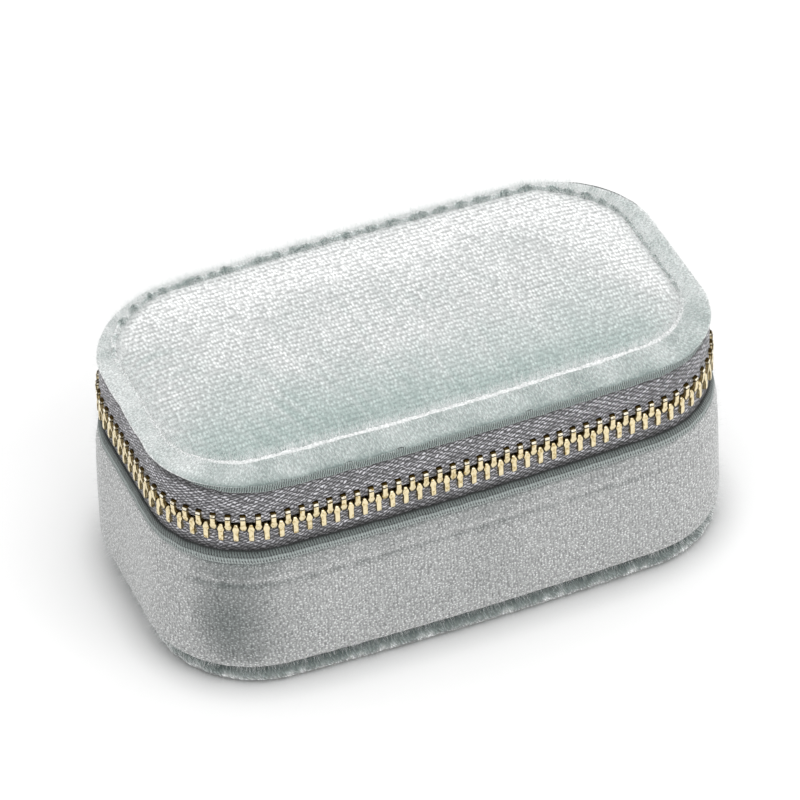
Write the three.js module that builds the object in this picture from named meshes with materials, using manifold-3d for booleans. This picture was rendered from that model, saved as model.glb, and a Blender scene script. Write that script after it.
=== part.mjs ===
// Travel jewelry case: a small padded velvet box with a metal zip round three
// sides and a fabric hinge across the back. Millimetres, +Z up, the zip's long
// front side faces -Y. Origin: centre of the footprint, on the resting plane.
// An inset is a distance inward from the outer wall face, seen in plan.
import * as THREE from 'three';
import { mergeVertices } from 'three/addons/utils/BufferGeometryUtils.js';
import Module from 'manifold-3d';

// ---- driving dimensions ----------------------------------------------------
const HALF_L = 55.5;        // half length of the outer wall (X)
const HALF_W = 32.0;        // half width of the outer wall at its middle (Y)
const R_CORNER = 20.5;      // outer corner radius in plan
const R_LONG = 700;         // radius of the slightly bowed long sides
const GAP = 0.3;            // gap left between neighbouring pieces

const Z_FLOOR_TOP = 4.1;    // top of the floor lining
const Z_INSIDE = Z_FLOOR_TOP + GAP; // underside of what stands on the floor
const Z_WALL_TOP = 28.6;    // top of the wall velvet
const Z_LEDGE_TOP = 31.0;   // top of the turned-in velvet edge under the zip
const Z_CHAIN = 36.6;       // centre plane of the zip's teeth
const Z_LINING_TOP = 44.2;  // top of the lid's lining
const Z_RIM_LOW = 45.2;     // lower edge of the lid's velvet rim
const Z_RIM_EDGE = 46.2;    // where the rim turns on to the lid
const Z_CREST = 47.8;       // top of the raised seam round the lid's panel
const Z_CROWN = 49.4;       // highest point of the padded panel

const D_TAPE = 1.95;        // inset of the zip tape's middle
const TAPE_T = 0.7;         // tape thickness
const ZIP_END = 26;         // half width of the zipless middle of the back
const SLIDER_DEG = 87;      // direction of the parked slider from the corner centre
const SLIDER_HALF = 4.05;   // half length of the slider

const wasm = await Module();
wasm.setup();

// ---- plan outline: two bowed long sides, four corner arcs ------------------
const QUARTER = Math.PI / 2;
const CORNER_X = HALF_L - R_CORNER;
const LONG_ANGLE = Math.asin(CORNER_X / (R_LONG - R_CORNER)); // half angle of a long side
const CORNER_Y = HALF_W - R_LONG * (1 - Math.cos(LONG_ANGLE)) - R_CORNER * Math.cos(LONG_ANGLE);
const BACK_ARC_Y = HALF_W - R_LONG;
const CHAIN_R = R_CORNER - D_TAPE; // corner radius at the tape's middle

// halves: how many half long sides the arc covers, 0 for a corner
const longArc = (y, from, to, halves) => ({ x: 0, y, radius: R_LONG, from, to, halves });
const cornerArc = (x, y, from, to) => ({ x, y, radius: R_CORNER, from, to, halves: 0 });

// counter-clockwise from the middle of the back
const ARCS = [
  longArc(BACK_ARC_Y, QUARTER, QUARTER + LONG_ANGLE, 1),
  cornerArc(-CORNER_X, CORNER_Y, QUARTER + LONG_ANGLE, 2 * QUARTER),
  cornerArc(-CORNER_X, -CORNER_Y, 2 * QUARTER, 3 * QUARTER - LONG_ANGLE),
  longArc(-BACK_ARC_Y, 3 * QUARTER - LONG_ANGLE, 3 * QUARTER + LONG_ANGLE, 2),
  cornerArc(CORNER_X, -CORNER_Y, 3 * QUARTER + LONG_ANGLE, 4 * QUARTER),
  cornerArc(CORNER_X, CORNER_Y, 4 * QUARTER, 5 * QUARTER - LONG_ANGLE),
  longArc(BACK_ARC_Y, 5 * QUARTER - LONG_ANGLE, 5 * QUARTER, 1),
];

function arcPoints(x, y, radius, from, to, segments) {
  return Array.from({ length: segments + 1 }, (_, i) => {
    const angle = from + ((to - from) * i) / segments;
    return [x + radius * Math.cos(angle), y + radius * Math.sin(angle)];
  });
}

const distance = (a, b) => Math.hypot(a[0] - b[0], a[1] - b[1]);

function outline(inset, cornerSegments = 8, halfSideSegments = 3) {
  const SAME_POINT = 1e-4;
  const points = [];
  for (const { x, y, radius, from, to, halves } of ARCS) {
    const segments = halves ? halves * halfSideSegments : cornerSegments;
    for (const point of arcPoints(x, y, radius - inset, from, to, segments)) {
      if (!points.length || distance(point, points.at(-1)) > SAME_POINT) points.push(point);
    }
  }
  if (distance(points[0], points.at(-1)) < SAME_POINT) points.pop();
  return points;
}

// the same outline by length, at the tape's middle; at(t) runs from 0 to 1 in each segment
const PATH = (() => {
  const segments = [];
  let length = 0;
  let previousEnd = null;
  const append = (kind, segmentLength, at) => {
    segments.push({ kind, start: length, length: segmentLength, at });
    length += segmentLength;
  };
  for (const arc of ARCS) {
    const radius = arc.radius - D_TAPE;
    const pointAt = (dir) => ({
      x: arc.x + radius * Math.cos(dir),
      y: arc.y + radius * Math.sin(dir),
      dir,
    });
    const a = previousEnd;
    const b = pointAt(arc.from);
    const straight = a ? Math.hypot(b.x - a.x, b.y - a.y) : 0;
    if (straight > 1e-6) {
      append('straight', straight, (t) => ({
        x: a.x + (b.x - a.x) * t,
        y: a.y + (b.y - a.y) * t,
        dir: arc.from,
      }));
    }
    const sweep = arc.to - arc.from;
    append(arc.halves ? 'long' : 'corner', radius * sweep, (t) => pointAt(arc.from + sweep * t));
    previousEnd = pointAt(arc.to);
  }
  return { segments, length };
})();

// point on the path and its outward direction
function along(s) {
  const segment = PATH.segments.find((g) => s <= g.start + g.length + 1e-9);
  return segment.at((s - segment.start) / segment.length);
}

// angle and path length from the middle of the back to where |X| = x on the back
const backAngle = (x) => Math.asin(x / (R_LONG - D_TAPE));
const backLength = (x) => (R_LONG - D_TAPE) * backAngle(x);

// ---- solid-building helpers ------------------------------------------------
function toSolid(geometry) {
  geometry.deleteAttribute('normal');
  geometry.deleteAttribute('uv');
  const merged = mergeVertices(geometry, 1e-4);
  return new wasm.Manifold(new wasm.Mesh({
    numProp: 3,
    vertProperties: new Float32Array(merged.attributes.position.array),
    triVerts: new Uint32Array(merged.index.array),
  }));
}

function toGeometry(solid) {
  const mesh = solid.getMesh();
  const geometry = new THREE.BufferGeometry();
  const positions = new Float32Array(mesh.vertProperties);
  geometry.setAttribute('position', new THREE.BufferAttribute(positions, 3));
  geometry.setIndex(new THREE.BufferAttribute(new Uint32Array(mesh.triVerts), 1));
  geometry.computeVertexNormals();
  return geometry;
}

const toVectors = (points) => points.map(([x, y]) => new THREE.Vector2(x, y));

function extrude(points, hole, z, depth, bevel = { bevelEnabled: false }) {
  const shape = new THREE.Shape(toVectors(points));
  if (hole) shape.holes.push(new THREE.Path(toVectors(hole).reverse()));
  return new THREE.ExtrudeGeometry(shape, { depth, ...bevel }).translate(0, 0, z);
}

const prism = (points, z0, z1, hole) => extrude(points, hole, z0, z1 - z0);
const plate = ({ inset, z0, z1 }) => prism(outline(inset), z0, z1);
const ring = ({ outer, inner, z0, z1 }) => prism(outline(outer), z0, z1, outline(inner));

function box({ x, y, z }) {
  return new THREE.BoxGeometry(x[1] - x[0], y[1] - y[0], z[1] - z[0])
    .translate((x[0] + x[1]) / 2, (y[0] + y[1]) / 2, (z[0] + z[1]) / 2);
}

// a ring with bevelled edges; the bevel grows past the two insets by bevelWidth
function welt({ outer, inner, z, depth, bevelHeight, bevelWidth }) {
  return extrude(outline(outer), outline(inner), z, depth, {
    bevelEnabled: true, bevelThickness: bevelHeight, bevelSize: bevelWidth, bevelSegments: 1,
  });
}

// a body with its sides at one inset, sloping in to another at its top, flat below
function crowned({ side, top, zBottom, zShoulder, zTop, segments }) {
  const SPARE = 20; // depth below the shoulder, trimmed off at zBottom
  const body = extrude(outline(top), null, zShoulder - SPARE, SPARE, {
    bevelEnabled: true,
    bevelThickness: zTop - zShoulder,
    bevelSize: top - side,
    bevelSegments: segments,
  });
  return toSolid(body).intersect(toSolid(prism(outline(-5, 4, 1), zBottom, zTop + 5)));
}

// a strip standing on the path from length s0 to s1, between two insets
function strip({ s0, s1, outer, inner, z0, z1, cornerStep = 3.2 }) {
  const maxStep = { straight: Infinity, long: 12, corner: cornerStep };
  const cuts = [];
  for (const segment of PATH.segments) {
    const from = Math.max(s0, segment.start);
    const to = Math.min(s1, segment.start + segment.length);
    if (to - from < 1e-6) continue;
    const n = Math.max(1, Math.ceil((to - from) / maxStep[segment.kind]));
    for (let i = 0; i <= n; i++) {
      const s = from + ((to - from) * i) / n;
      if (!cuts.length || s - cuts.at(-1) > 1e-4) cuts.push(s);
    }
  }
  const edge = (inset) => cuts.map(along).map(({ x, y, dir }) => [
    x + (D_TAPE - inset) * Math.cos(dir),
    y + (D_TAPE - inset) * Math.sin(dir),
  ]);
  return prism([...edge(outer), ...edge(inner).reverse()], z0, z1);
}

// a block centred on the path: length along it, depth across it
function blockOnPath({ s, length, depth, z0, z1 }) {
  const { x, y, dir } = along(s);
  return new THREE.BoxGeometry(depth, length, z1 - z0)
    .rotateZ(dir)
    .translate(x, y, (z0 + z1) / 2);
}

// a curved band centred on the +Y direction from its arc centre
function arcBand({ y = 0, outer, inner, halfAngle, segments, z0, z1 }) {
  const edge = (radius) =>
    arcPoints(0, y, radius, QUARTER - halfAngle, QUARTER + halfAngle, segments);
  return prism([...edge(outer), ...edge(inner).reverse()], z0, z1);
}

// ---- materials -------------------------------------------------------------
const material = (settings) => new THREE.MeshStandardMaterial({ metalness: 0, ...settings });
const velvet = material({ color: 0xb9c4bd, roughness: 0.95 });
const velvetTop = material({ color: 0xcfdbd5, roughness: 0.95 });
const lining = material({ color: 0xc3ccc6, roughness: 0.95 });
const tapeCloth = material({ color: 0x8a8a92, roughness: 0.9 });
const gold = material({ color: 0xd9c48c, roughness: 0.3, metalness: 1 });
const board = material({ color: 0x9c9488, roughness: 0.9 });
const foam = material({ color: 0xe9e4d6, roughness: 1 });
const glass = material({ color: 0xdfe6e8, roughness: 0.05, metalness: 1 });

const jewelryCase = new THREE.Group();

function add(name, shape, surface, parent = jewelryCase) {
  const geometry = shape.isBufferGeometry ? shape : toGeometry(shape);
  const mesh = new THREE.Mesh(geometry, surface);
  mesh.name = name;
  parent.add(mesh);
}

// ---- base shell ------------------------------------------------------------
add('base_bottom_cover', plate({ inset: 3.2, z0: 0, z1: 1.0 }), velvet);
add('base_bottom_board', plate({ inset: 3.2, z0: 1.3, z1: 2.8 }), board);

// padded welt rolled round the bottom edge; its outer side is flush with the wall
const WELT_ROLL = 0.95;
add('base_bottom_welt', welt({
  outer: WELT_ROLL, inner: 1.85, z: 1.25, depth: 1.4,
  bevelHeight: WELT_ROLL, bevelWidth: WELT_ROLL,
}), velvet);

{
  // above the wall top only the turned-in inner part of the velvet is left
  const wall = toSolid(ring({ outer: 0, inner: 1.3, z0: 4.0, z1: Z_LEDGE_TOP }));
  const step = toSolid(ring({ outer: -2, inner: 0.75, z0: Z_WALL_TOP, z1: Z_LEDGE_TOP + 2 }));
  add('base_wall_cover', wall.subtract(step), velvet);
}
add('base_wall_board', ring({ outer: 2.6, inner: 4.0, z0: 4.0, z1: 32.2 }), board);
add('base_wall_lining', ring({ outer: 4.3, inner: 5.2, z0: Z_INSIDE, z1: 32.3 }), lining);
add('base_floor_lining', plate({ inset: 5.5, z0: 3.1, z1: Z_FLOOR_TOP }), lining);

// ---- base interior: ring rolls on the left, compartments on the right ------
const ROLL_COUNT = 4;
const ROLL_R = 5.4;
const ROLL_PITCH = 11.2;
const ROLL_X = -8.8;             // the roll nearest the divider
const BED_TOP = 16.5;
const DIVIDER_X = [-2.5, -0.7];  // the two faces of the centre divider
const DIVIDER_GAP = 0.4;

const interior = toSolid(plate({ inset: 5.6, z0: Z_INSIDE, z1: 31 }));
const bedBlock = box({ x: [-60, DIVIDER_X[0] - DIVIDER_GAP], y: [-40, 40], z: [Z_INSIDE, BED_TOP] });
add('ring_roll_bed', interior.intersect(toSolid(bedBlock)), foam);
for (let i = 0; i < ROLL_COUNT; i++) {
  const roll = new THREE.CylinderGeometry(ROLL_R, ROLL_R, 60, 20)
    .translate(ROLL_X - ROLL_PITCH * i, 0, BED_TOP + GAP + ROLL_R);
  add(`ring_roll_${i + 1}`, interior.intersect(toSolid(roll)), lining);
}
add('center_divider', box({ x: DIVIDER_X, y: [-25.6, 25.6], z: [Z_INSIDE, 27.5] }), lining);
add('compartment_divider', box({
  x: [DIVIDER_X[1] + DIVIDER_GAP, 49.7], y: [-0.9, 0.9], z: [Z_INSIDE, 25.5],
}), lining);

// ---- zip: two halves, mirrored about the chain's centre plane --------------
const BASE = -1;
const LID = 1;
const PITCH = 2.6;          // tooth pitch on each side
const TOOTH_LENGTH = 0.95;  // along the tape
const TOOTH_DEPTH = 2.6;    // through the tape
const MESH_IN = 0.55;       // how far each row reaches past the centre plane
const TOOTH_BACK = 3.0;     // from the centre plane to the back of a tooth
const TAPE_EDGE = 3.3;      // from the centre plane to the tape
const CORD_HALF = 0.5;      // half thickness of the cord joining the teeth
const CORD_END = 0.4;       // cord past the middle of the end teeth

const ZIP_START = backLength(ZIP_END);
const ZIP_STOP = PATH.length - ZIP_START;
const TAPE = { outer: D_TAPE - TAPE_T / 2, inner: D_TAPE + TAPE_T / 2 };

// the slider is parked in the back right corner, the last segment but one
const SLIDER_S = PATH.segments.at(-2).start + (CHAIN_R * SLIDER_DEG * Math.PI) / 180;
const SLIDER_CLEAR = SLIDER_HALF + 0.6;
const FIRST_TOOTH = ZIP_START + 4.2;
const TEETH_LIMIT = SLIDER_S - SLIDER_CLEAR - 0.7;

// heights between two distances from the centre plane, towards the base or the lid
function zipSpan(side, near, far) {
  const [z0, z1] = [Z_CHAIN + side * near, Z_CHAIN + side * far].sort((a, b) => a - b);
  return { z0, z1 };
}

function teeth(side, offset) {
  const span = zipSpan(side, -MESH_IN, TOOTH_BACK);
  const parts = [];
  let end = FIRST_TOOTH;
  for (let s = FIRST_TOOTH + offset; s <= TEETH_LIMIT; s += PITCH) {
    parts.push(toSolid(blockOnPath({ s, length: TOOTH_LENGTH, depth: TOOTH_DEPTH, ...span })));
    end = s;
  }
  const cord = strip({
    s0: FIRST_TOOTH - CORD_END,
    s1: end + CORD_END,
    outer: D_TAPE - CORD_HALF,
    inner: D_TAPE + CORD_HALF,
    ...zipSpan(side, 1.3, 2.3),
    cornerStep: 2.6,
  });
  return wasm.Manifold.union([toSolid(cord), ...parts]);
}

const topStop = (side) => blockOnPath({
  s: ZIP_STOP - 1.6, length: 2.0, depth: 2.4, ...zipSpan(side, 0.5, TOOTH_BACK),
});

const tape = (z0, z1) => strip({ s0: ZIP_START, s1: ZIP_STOP, ...TAPE, z0, z1 });

add('base_zip_tape', tape(25, Z_CHAIN - TAPE_EDGE), tapeCloth);
add('base_zip_teeth', teeth(BASE, 0), gold);
add('base_top_stop', topStop(BASE), gold);
add('bottom_stop', blockOnPath({
  s: ZIP_START + 1.7, length: 2.2, depth: 2.7, z0: Z_CHAIN - TOOTH_BACK, z1: Z_CHAIN + 2.9,
}), gold);

{
  // the lid's tape is notched round the slider
  const notch = strip({
    s0: SLIDER_S - SLIDER_CLEAR,
    s1: SLIDER_S + SLIDER_CLEAR,
    outer: TAPE.outer - 3,
    inner: TAPE.inner + 3,
    z0: 38,
    z1: 43.2,
  });
  const lidTape = tape(Z_CHAIN + TAPE_EDGE, Z_RIM_LOW - GAP);
  add('lid_zip_tape', toSolid(lidTape).subtract(toSolid(notch)), tapeCloth);
}
add('lid_zip_teeth', teeth(LID, PITCH / 2), gold);
add('lid_top_stop', topStop(LID), gold);

// ---- fabric hinge: two leaves of one strip that folds between them ---------
const HINGE_HALF = 24;      // half width of the strip
const FOLD_HALF = 0.25;     // half the gap between the leaves
const hingeLeaf = (z0, z1) => arcBand({
  y: BACK_ARC_Y,
  outer: R_LONG - 0.3,
  inner: R_LONG - 1.2,
  halfAngle: backAngle(HINGE_HALF),
  segments: 8,
  z0,
  z1,
});
add('hinge_strip_lower', hingeLeaf(Z_LEDGE_TOP + GAP, Z_CHAIN - FOLD_HALF), velvet);
add('hinge_strip_upper', hingeLeaf(Z_CHAIN + FOLD_HALF, Z_RIM_LOW - GAP), velvet);

// ---- lid shell -------------------------------------------------------------
const RIM_INNER = 6.9;      // inset of the rim's inner edge
const PANEL_FLAT = 20;      // inset where the padded panel becomes flat
const Z_UNDER_LID = 40;     // where cutters start, clear below the lid's cover

add('lid_board', plate({ inset: 2.9, z0: 44.5, z1: 45.6 }), board);
{
  const body = crowned({
    side: 0.9, top: RIM_INNER, zBottom: Z_RIM_LOW, zShoulder: Z_RIM_EDGE, zTop: 47.3, segments: 1,
  });
  const hollow = toSolid(plate({ inset: 2.6, z0: Z_UNDER_LID, z1: 45.95 }));
  const opening = toSolid(plate({ inset: RIM_INNER, z0: Z_UNDER_LID, z1: 60 }));
  add('lid_rim_cover', body.subtract(hollow).subtract(opening), velvet);
}
{
  const depth = 1.2;
  const bevelHeight = 0.5;
  add('lid_crest_welt', welt({
    outer: 7.55, inner: 7.85, z: Z_CREST - bevelHeight - depth, depth, bevelHeight, bevelWidth: 0.35,
  }), velvetTop);
}
{
  const cover = crowned({
    side: 8.5, top: PANEL_FLAT, zBottom: 46.0, zShoulder: 46.9, zTop: Z_CROWN, segments: 3,
  });
  const hollow = crowned({
    side: 9.7, top: PANEL_FLAT, zBottom: Z_UNDER_LID, zShoulder: 46.3, zTop: Z_CROWN - 1.2,
    segments: 2,
  });
  add('lid_top_cover', cover.subtract(hollow), velvetTop);
}
add('lid_foam_pad', crowned({
  side: 10.1, top: PANEL_FLAT, zBottom: 45.9, zShoulder: 46.2, zTop: Z_CROWN - 1.5, segments: 2,
}), foam);
add('lid_lining_panel', plate({ inset: 5.4, z0: 43.3, z1: Z_LINING_TOP }), lining);
add('lid_lining_band', ring({ outer: 4.0, inner: 5.1, z0: 41.0, z1: Z_LINING_TOP }), lining);

// ---- mirror in its surround, in the middle of the lid's lining -------------
const MIRROR = { cornerX: 30, cornerY: 11, radius: 8, zTop: 43.0 }; // surround's outer edge

function mirrorOutline(inset) {
  const corners = [[1, 1], [-1, 1], [-1, -1], [1, -1]];
  return corners.flatMap(([signX, signY], i) => arcPoints(
    signX * MIRROR.cornerX, signY * MIRROR.cornerY, MIRROR.radius - inset,
    i * QUARTER, (i + 1) * QUARTER, 4,
  ));
}

const SURROUND_W = 2.5;
const surround = prism(mirrorOutline(0), 41.7, MIRROR.zTop, mirrorOutline(SURROUND_W));
add('mirror_surround', surround, lining);
add('mirror_glass', prism(mirrorOutline(SURROUND_W + GAP), 41.9, MIRROR.zTop), glass);

// ---- slider, riding round the back right corner ----------------------------
// Its frame sits at the corner centre: local +Y points out through the slider,
// local X runs along the zip.
const OUTER_FACE = CHAIN_R + 2.65;
const PIVOT_R = OUTER_FACE + 2.15; // where the link hangs on the bridge

const slider = new THREE.Group();
slider.position.set(CORNER_X, CORNER_Y, Z_CHAIN);
slider.rotation.z = ((SLIDER_DEG - 90) * Math.PI) / 180;
jewelryCase.add(slider);

// a curved plate with lips above and below the channel cut in it;
// both are [inner, outer] radii measured from the chain
function sliderPlate(plateRadii, channelRadii) {
  const sector = ([inner, outer], halfLength, halfHeight) => toSolid(arcBand({
    outer: CHAIN_R + outer,
    inner: CHAIN_R + inner,
    halfAngle: halfLength / CHAIN_R,
    segments: 6,
    z0: -halfHeight,
    z1: halfHeight,
  }));
  return sector(plateRadii, SLIDER_HALF, 4)
    .subtract(sector(channelRadii, SLIDER_HALF + 2, 3.4));
}

// bridge on the outer plate, running along the zip; points are local [X, Y]
function bridge() {
  const arch = [
    [-2.7, OUTER_FACE - 0.45], [2.7, OUTER_FACE - 0.45],
    [2.7, PIVOT_R - 0.2], [1.9, PIVOT_R + 0.45],
    [-1.9, PIVOT_R + 0.45], [-2.7, PIVOT_R - 0.2],
  ];
  const opening = [
    [-1.7, OUTER_FACE - 0.1], [1.7, OUTER_FACE - 0.1],
    [1.7, PIVOT_R - 0.45], [-1.7, PIVOT_R - 0.45],
  ];
  return toSolid(prism(arch, -0.6, 0.6, opening));
}

add('slider_body', sliderPlate([1.05, 2.65], [-1, 1.9]).add(bridge()), gold, slider);
add('slider_back_plate', sliderPlate([-2.6, -0.7], [-1.9, 1]), gold, slider);

// a flat piece drawn in [X, Z] and stood up, its thickness centred on Y = 0
const upright = (points, hole, thickness) =>
  prism(points, 0, thickness, hole).rotateX(QUARTER).translate(0, thickness / 2, 0);

// stamped link hanging on the bridge, turned so its face looks along the zip
const PULL_Z = -6.2;        // height of the tab's pivot from the centre plane
function pullLink() {
  const outer = [
    ...arcPoints(0, 0, 1.9, 0, Math.PI, 10),
    [-1.9, PULL_Z + 0.1], [-1.5, PULL_Z - 0.3], [1.5, PULL_Z - 0.3], [1.9, PULL_Z + 0.1],
  ];
  const hole = [
    ...arcPoints(0, 0, 1.3, 0, Math.PI, 10),
    [-1.3, PULL_Z + 0.5], [-1.1, PULL_Z + 0.3], [1.1, PULL_Z + 0.3], [1.3, PULL_Z + 0.5],
  ];
  return upright(outer, hole, 1.1).rotateZ(QUARTER).translate(0, PIVOT_R, 0);
}
add('pull_link', pullLink(), gold, slider);

// tab hanging on the link, its face looking outward
function pullTab() {
  const outer = [
    [-2.2, -5.3], [-2.7, -9.5], [-2.7, -23.5], [-1.9, -25.2], [1.9, -25.2],
    [2.7, -23.5], [2.7, -9.5], [2.2, -5.3], [1.9, -4.85], [-1.9, -4.85],
  ];
  const hole = [[-1.0, -5.4], [1.0, -5.4], [1.0, -6.9], [-1.0, -6.9]];
  return upright(outer, hole, 0.7).translate(0, PIVOT_R, 0);
}
add('pull_tab', pullTab(), gold, slider);

export default jewelryCase;
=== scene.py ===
"""Travel jewelry case: velvet, zip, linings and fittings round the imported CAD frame.

Lengths are in mm unless a comment says otherwise; MM turns them into metres. The case stands on
z = 0, centred on the z axis, with its length along x. The hinge is at the back (+y) and the front
faces -y. Profiles are (inset, z) points, swept round the plan outline by path length, which
starts in the middle of the back and runs by the left (-x), the front and the right.
"""
import itertools
import math
import bpy
import bmesh
import numpy as np
from mathutils import Vector, Matrix


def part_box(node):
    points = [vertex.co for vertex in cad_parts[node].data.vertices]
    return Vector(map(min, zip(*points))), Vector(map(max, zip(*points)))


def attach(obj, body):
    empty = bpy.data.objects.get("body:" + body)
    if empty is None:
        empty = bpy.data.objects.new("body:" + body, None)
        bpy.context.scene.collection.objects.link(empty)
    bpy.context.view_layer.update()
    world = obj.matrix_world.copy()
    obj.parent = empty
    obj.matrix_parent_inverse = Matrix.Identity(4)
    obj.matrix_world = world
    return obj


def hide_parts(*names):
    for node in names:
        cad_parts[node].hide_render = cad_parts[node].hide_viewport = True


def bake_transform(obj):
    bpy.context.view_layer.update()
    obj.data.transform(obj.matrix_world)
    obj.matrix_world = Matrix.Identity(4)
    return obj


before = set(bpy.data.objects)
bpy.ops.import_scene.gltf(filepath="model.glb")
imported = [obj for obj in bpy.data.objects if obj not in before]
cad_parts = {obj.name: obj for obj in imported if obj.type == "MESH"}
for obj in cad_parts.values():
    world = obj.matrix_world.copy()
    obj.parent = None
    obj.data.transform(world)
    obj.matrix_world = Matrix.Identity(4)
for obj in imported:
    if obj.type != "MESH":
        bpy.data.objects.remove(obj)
MM = 0.001
QUARTER = math.pi / 2


def box_mm(node):
    """Low and high corner of a CAD piece."""
    return [np.array(corner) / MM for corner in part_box(node)]


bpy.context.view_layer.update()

# ------------------------------------------------------------------ plan outline
HALF_LENGTH, HALF_WIDTH = (float(c) for c in box_mm("base_wall_cover")[1][:2])
CORNER_RADIUS = 20.5
BOW_RADIUS = 700.0        # of the bowed long sides
TAPE_INSET = 1.95         # middle of the zip tape
TAPE_BOW = BOW_RADIUS - TAPE_INSET
ZIP_Z = 36.6              # centre plane of the zip
CORNER_X = HALF_LENGTH - CORNER_RADIUS
BOW_ANGLE = math.asin(CORNER_X / (BOW_RADIUS - CORNER_RADIUS))
CORNER_Y = (HALF_WIDTH - BOW_RADIUS * (1 - math.cos(BOW_ANGLE))
            - CORNER_RADIUS * math.cos(BOW_ANGLE))
BOW_Y = HALF_WIDTH - BOW_RADIUS


def outline_segments():
    """Rows of centre x, centre y at start and end, radius, normal angle at start and end."""
    cx, cy, bow, quarter = CORNER_X, CORNER_Y, BOW_ANGLE, QUARTER
    long, short = BOW_RADIUS, CORNER_RADIUS
    return [
        (0, BOW_Y, BOW_Y, long, quarter, quarter + bow),
        (-cx, cy, cy, short, quarter + bow, 2 * quarter),
        (-cx, cy, -cy, short, 2 * quarter, 2 * quarter),
        (-cx, -cy, -cy, short, 2 * quarter, 3 * quarter - bow),
        (0, -BOW_Y, -BOW_Y, long, 3 * quarter - bow, 3 * quarter + bow),
        (cx, -cy, -cy, short, 3 * quarter + bow, 4 * quarter),
        (cx, -cy, cy, short, 4 * quarter, 4 * quarter),
        (cx, cy, cy, short, 4 * quarter, 5 * quarter - bow),
        (0, BOW_Y, BOW_Y, long, 5 * quarter - bow, 5 * quarter)]


SEGMENTS = outline_segments()
LENGTHS = [abs(y1 - y0) + (radius - TAPE_INSET) * (a1 - a0)
           for _, y0, y1, radius, a0, a1 in SEGMENTS]
*STARTS, PERIMETER = itertools.accumulate(LENGTHS, initial=0.0)

ZIP_START = TAPE_BOW * math.asin(26 / TAPE_BOW)
ZIP_END = PERIMETER - ZIP_START
SLIDER_AT = STARTS[-2] + (CORNER_RADIUS - TAPE_INSET) * math.radians(87)
GAP_START, GAP_END = SLIDER_AT - 4.65, SLIDER_AT + 4.65
TOOTH_PITCH = 2.6


def outline(lengths):
    """Centre x, centre y, radius and normal angle of the outline at these path lengths."""
    out = np.zeros((len(lengths), 4))
    for i, s in enumerate(lengths):
        for segment, start, length in zip(SEGMENTS, STARTS, LENGTHS):
            if s <= start + length + 1e-9:
                break
        t = min(1.0, max(0.0, (s - start) / length))
        x, y0, y1, radius, a0, a1 = segment
        out[i] = (x, y0 + (y1 - y0) * t, radius, a0 + (a1 - a0) * t)
    return out


def normal_angle(s):
    """Normal angles, as a column, for a column of path lengths."""
    return outline(s[:, 0])[:, 3:4]


# The lid's seam round the padded panel: direction of the outline's normal in degrees
# (0 right, 90 back), inset, height, inset of the rim's outer shoulder.
SEAM = np.array([
    (0, 6.0, 47.3, 1.6), (30, 6.3, 47.0, 2.1), (60, 5.9, 47.2, 2.1), (90, 4.9, 48.6, 1.4),
    (120, 4.9, 47.6, 2.0), (150, 4.7, 47.2, 1.7), (180, 4.6, 47.1, 1.1), (225, 6.3, 47.0, 0.95),
    (270, 7.45, 47.05, 0.95), (315, 6.9, 47.1, 0.95), (360, 6.0, 47.3, 1.6)])
SEAM_DEGREES = np.linspace(0, 360, 721)


def smoothed_round(values):
    """A column of SEAM at every half degree, blurred with an 8 degree bell."""
    y = np.interp(SEAM_DEGREES, SEAM[:, 0], values)[:-1]
    kernel = np.exp(-0.5 * (np.arange(-60, 61) * 0.5 / 8.0) ** 2)
    y = np.convolve(np.concatenate([y[-60:], y, y[:60]]), kernel / kernel.sum(), "valid")
    return np.append(y, y[0])


SEAM_CURVES = [smoothed_round(column) for column in SEAM.T[1:]]


def seam(angle):
    """Inset and height of the seam, and inset of the shoulder, for these normal angles."""
    degrees = np.mod(np.degrees(angle), 360)
    return [np.interp(degrees, SEAM_DEGREES, curve) for curve in SEAM_CURVES]


# ------------------------------------------------------------------ shape helpers
def clip01(x):
    return np.clip(x, 0, 1)


def bell(x, centre, width):
    return np.exp(-((x - centre) / width) ** 2)


def swell(distance, reach):
    """Rises from 0 at an edge toward 1."""
    return 1 - np.exp(-distance / reach)


def squared(value, power):
    """A sine or cosine pushed toward +-1, which squares off a circle."""
    return math.copysign(abs(value) ** power, value)


def wave(s, low, high, seed, count=9):
    """A smooth irregular closed wave of about -1 to 1, with low to high cycles round."""
    rng = np.random.default_rng(seed)
    out = np.zeros_like(s, dtype=float)
    for cycles in rng.integers(low, high + 1, count):
        out += np.sin(2 * math.pi * cycles * s / PERIMETER + rng.uniform(0, 6.283))
    return out / math.sqrt(count) * 0.8


def path_lengths(points):
    steps = np.linalg.norm(np.diff(points, axis=0), axis=1)
    return np.concatenate([[0], np.cumsum(steps)])


def rounded(points, gap, rounds=2):
    """A closed profile with its corners cut off `rounds` times, resampled about every gap."""
    p = np.array(points, float)
    for _ in range(rounds):
        following = np.roll(p, -1, 0)
        p = np.stack([0.75 * p + 0.25 * following, 0.25 * p + 0.75 * following], 1)
        p = p.reshape(-1, 2)
    loop = np.vstack([p, p[:1]])
    t = path_lengths(loop)
    count = max(8, int(round(t[-1] / gap)))
    k = np.linspace(0, t[-1], count, endpoint=False)
    return np.stack([np.interp(k, t, loop[:, 0]), np.interp(k, t, loop[:, 1])], 1)


def tube_faces(rings, count, closed=False, start=0):
    """Quads between rings of count points; an open tube gets two end caps."""
    faces = []
    for i in range(rings if closed else rings - 1):
        near, far = start + i * count, start + (i + 1) % rings * count
        for j in range(count):
            j2 = (j + 1) % count
            faces.append((near + j, near + j2, far + j2, far + j))
    if not closed:
        last = start + (rings - 1) * count
        faces.append(tuple(range(start, start + count)))
        faces.append(tuple(reversed(range(last, last + count))))
    return faces


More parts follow.
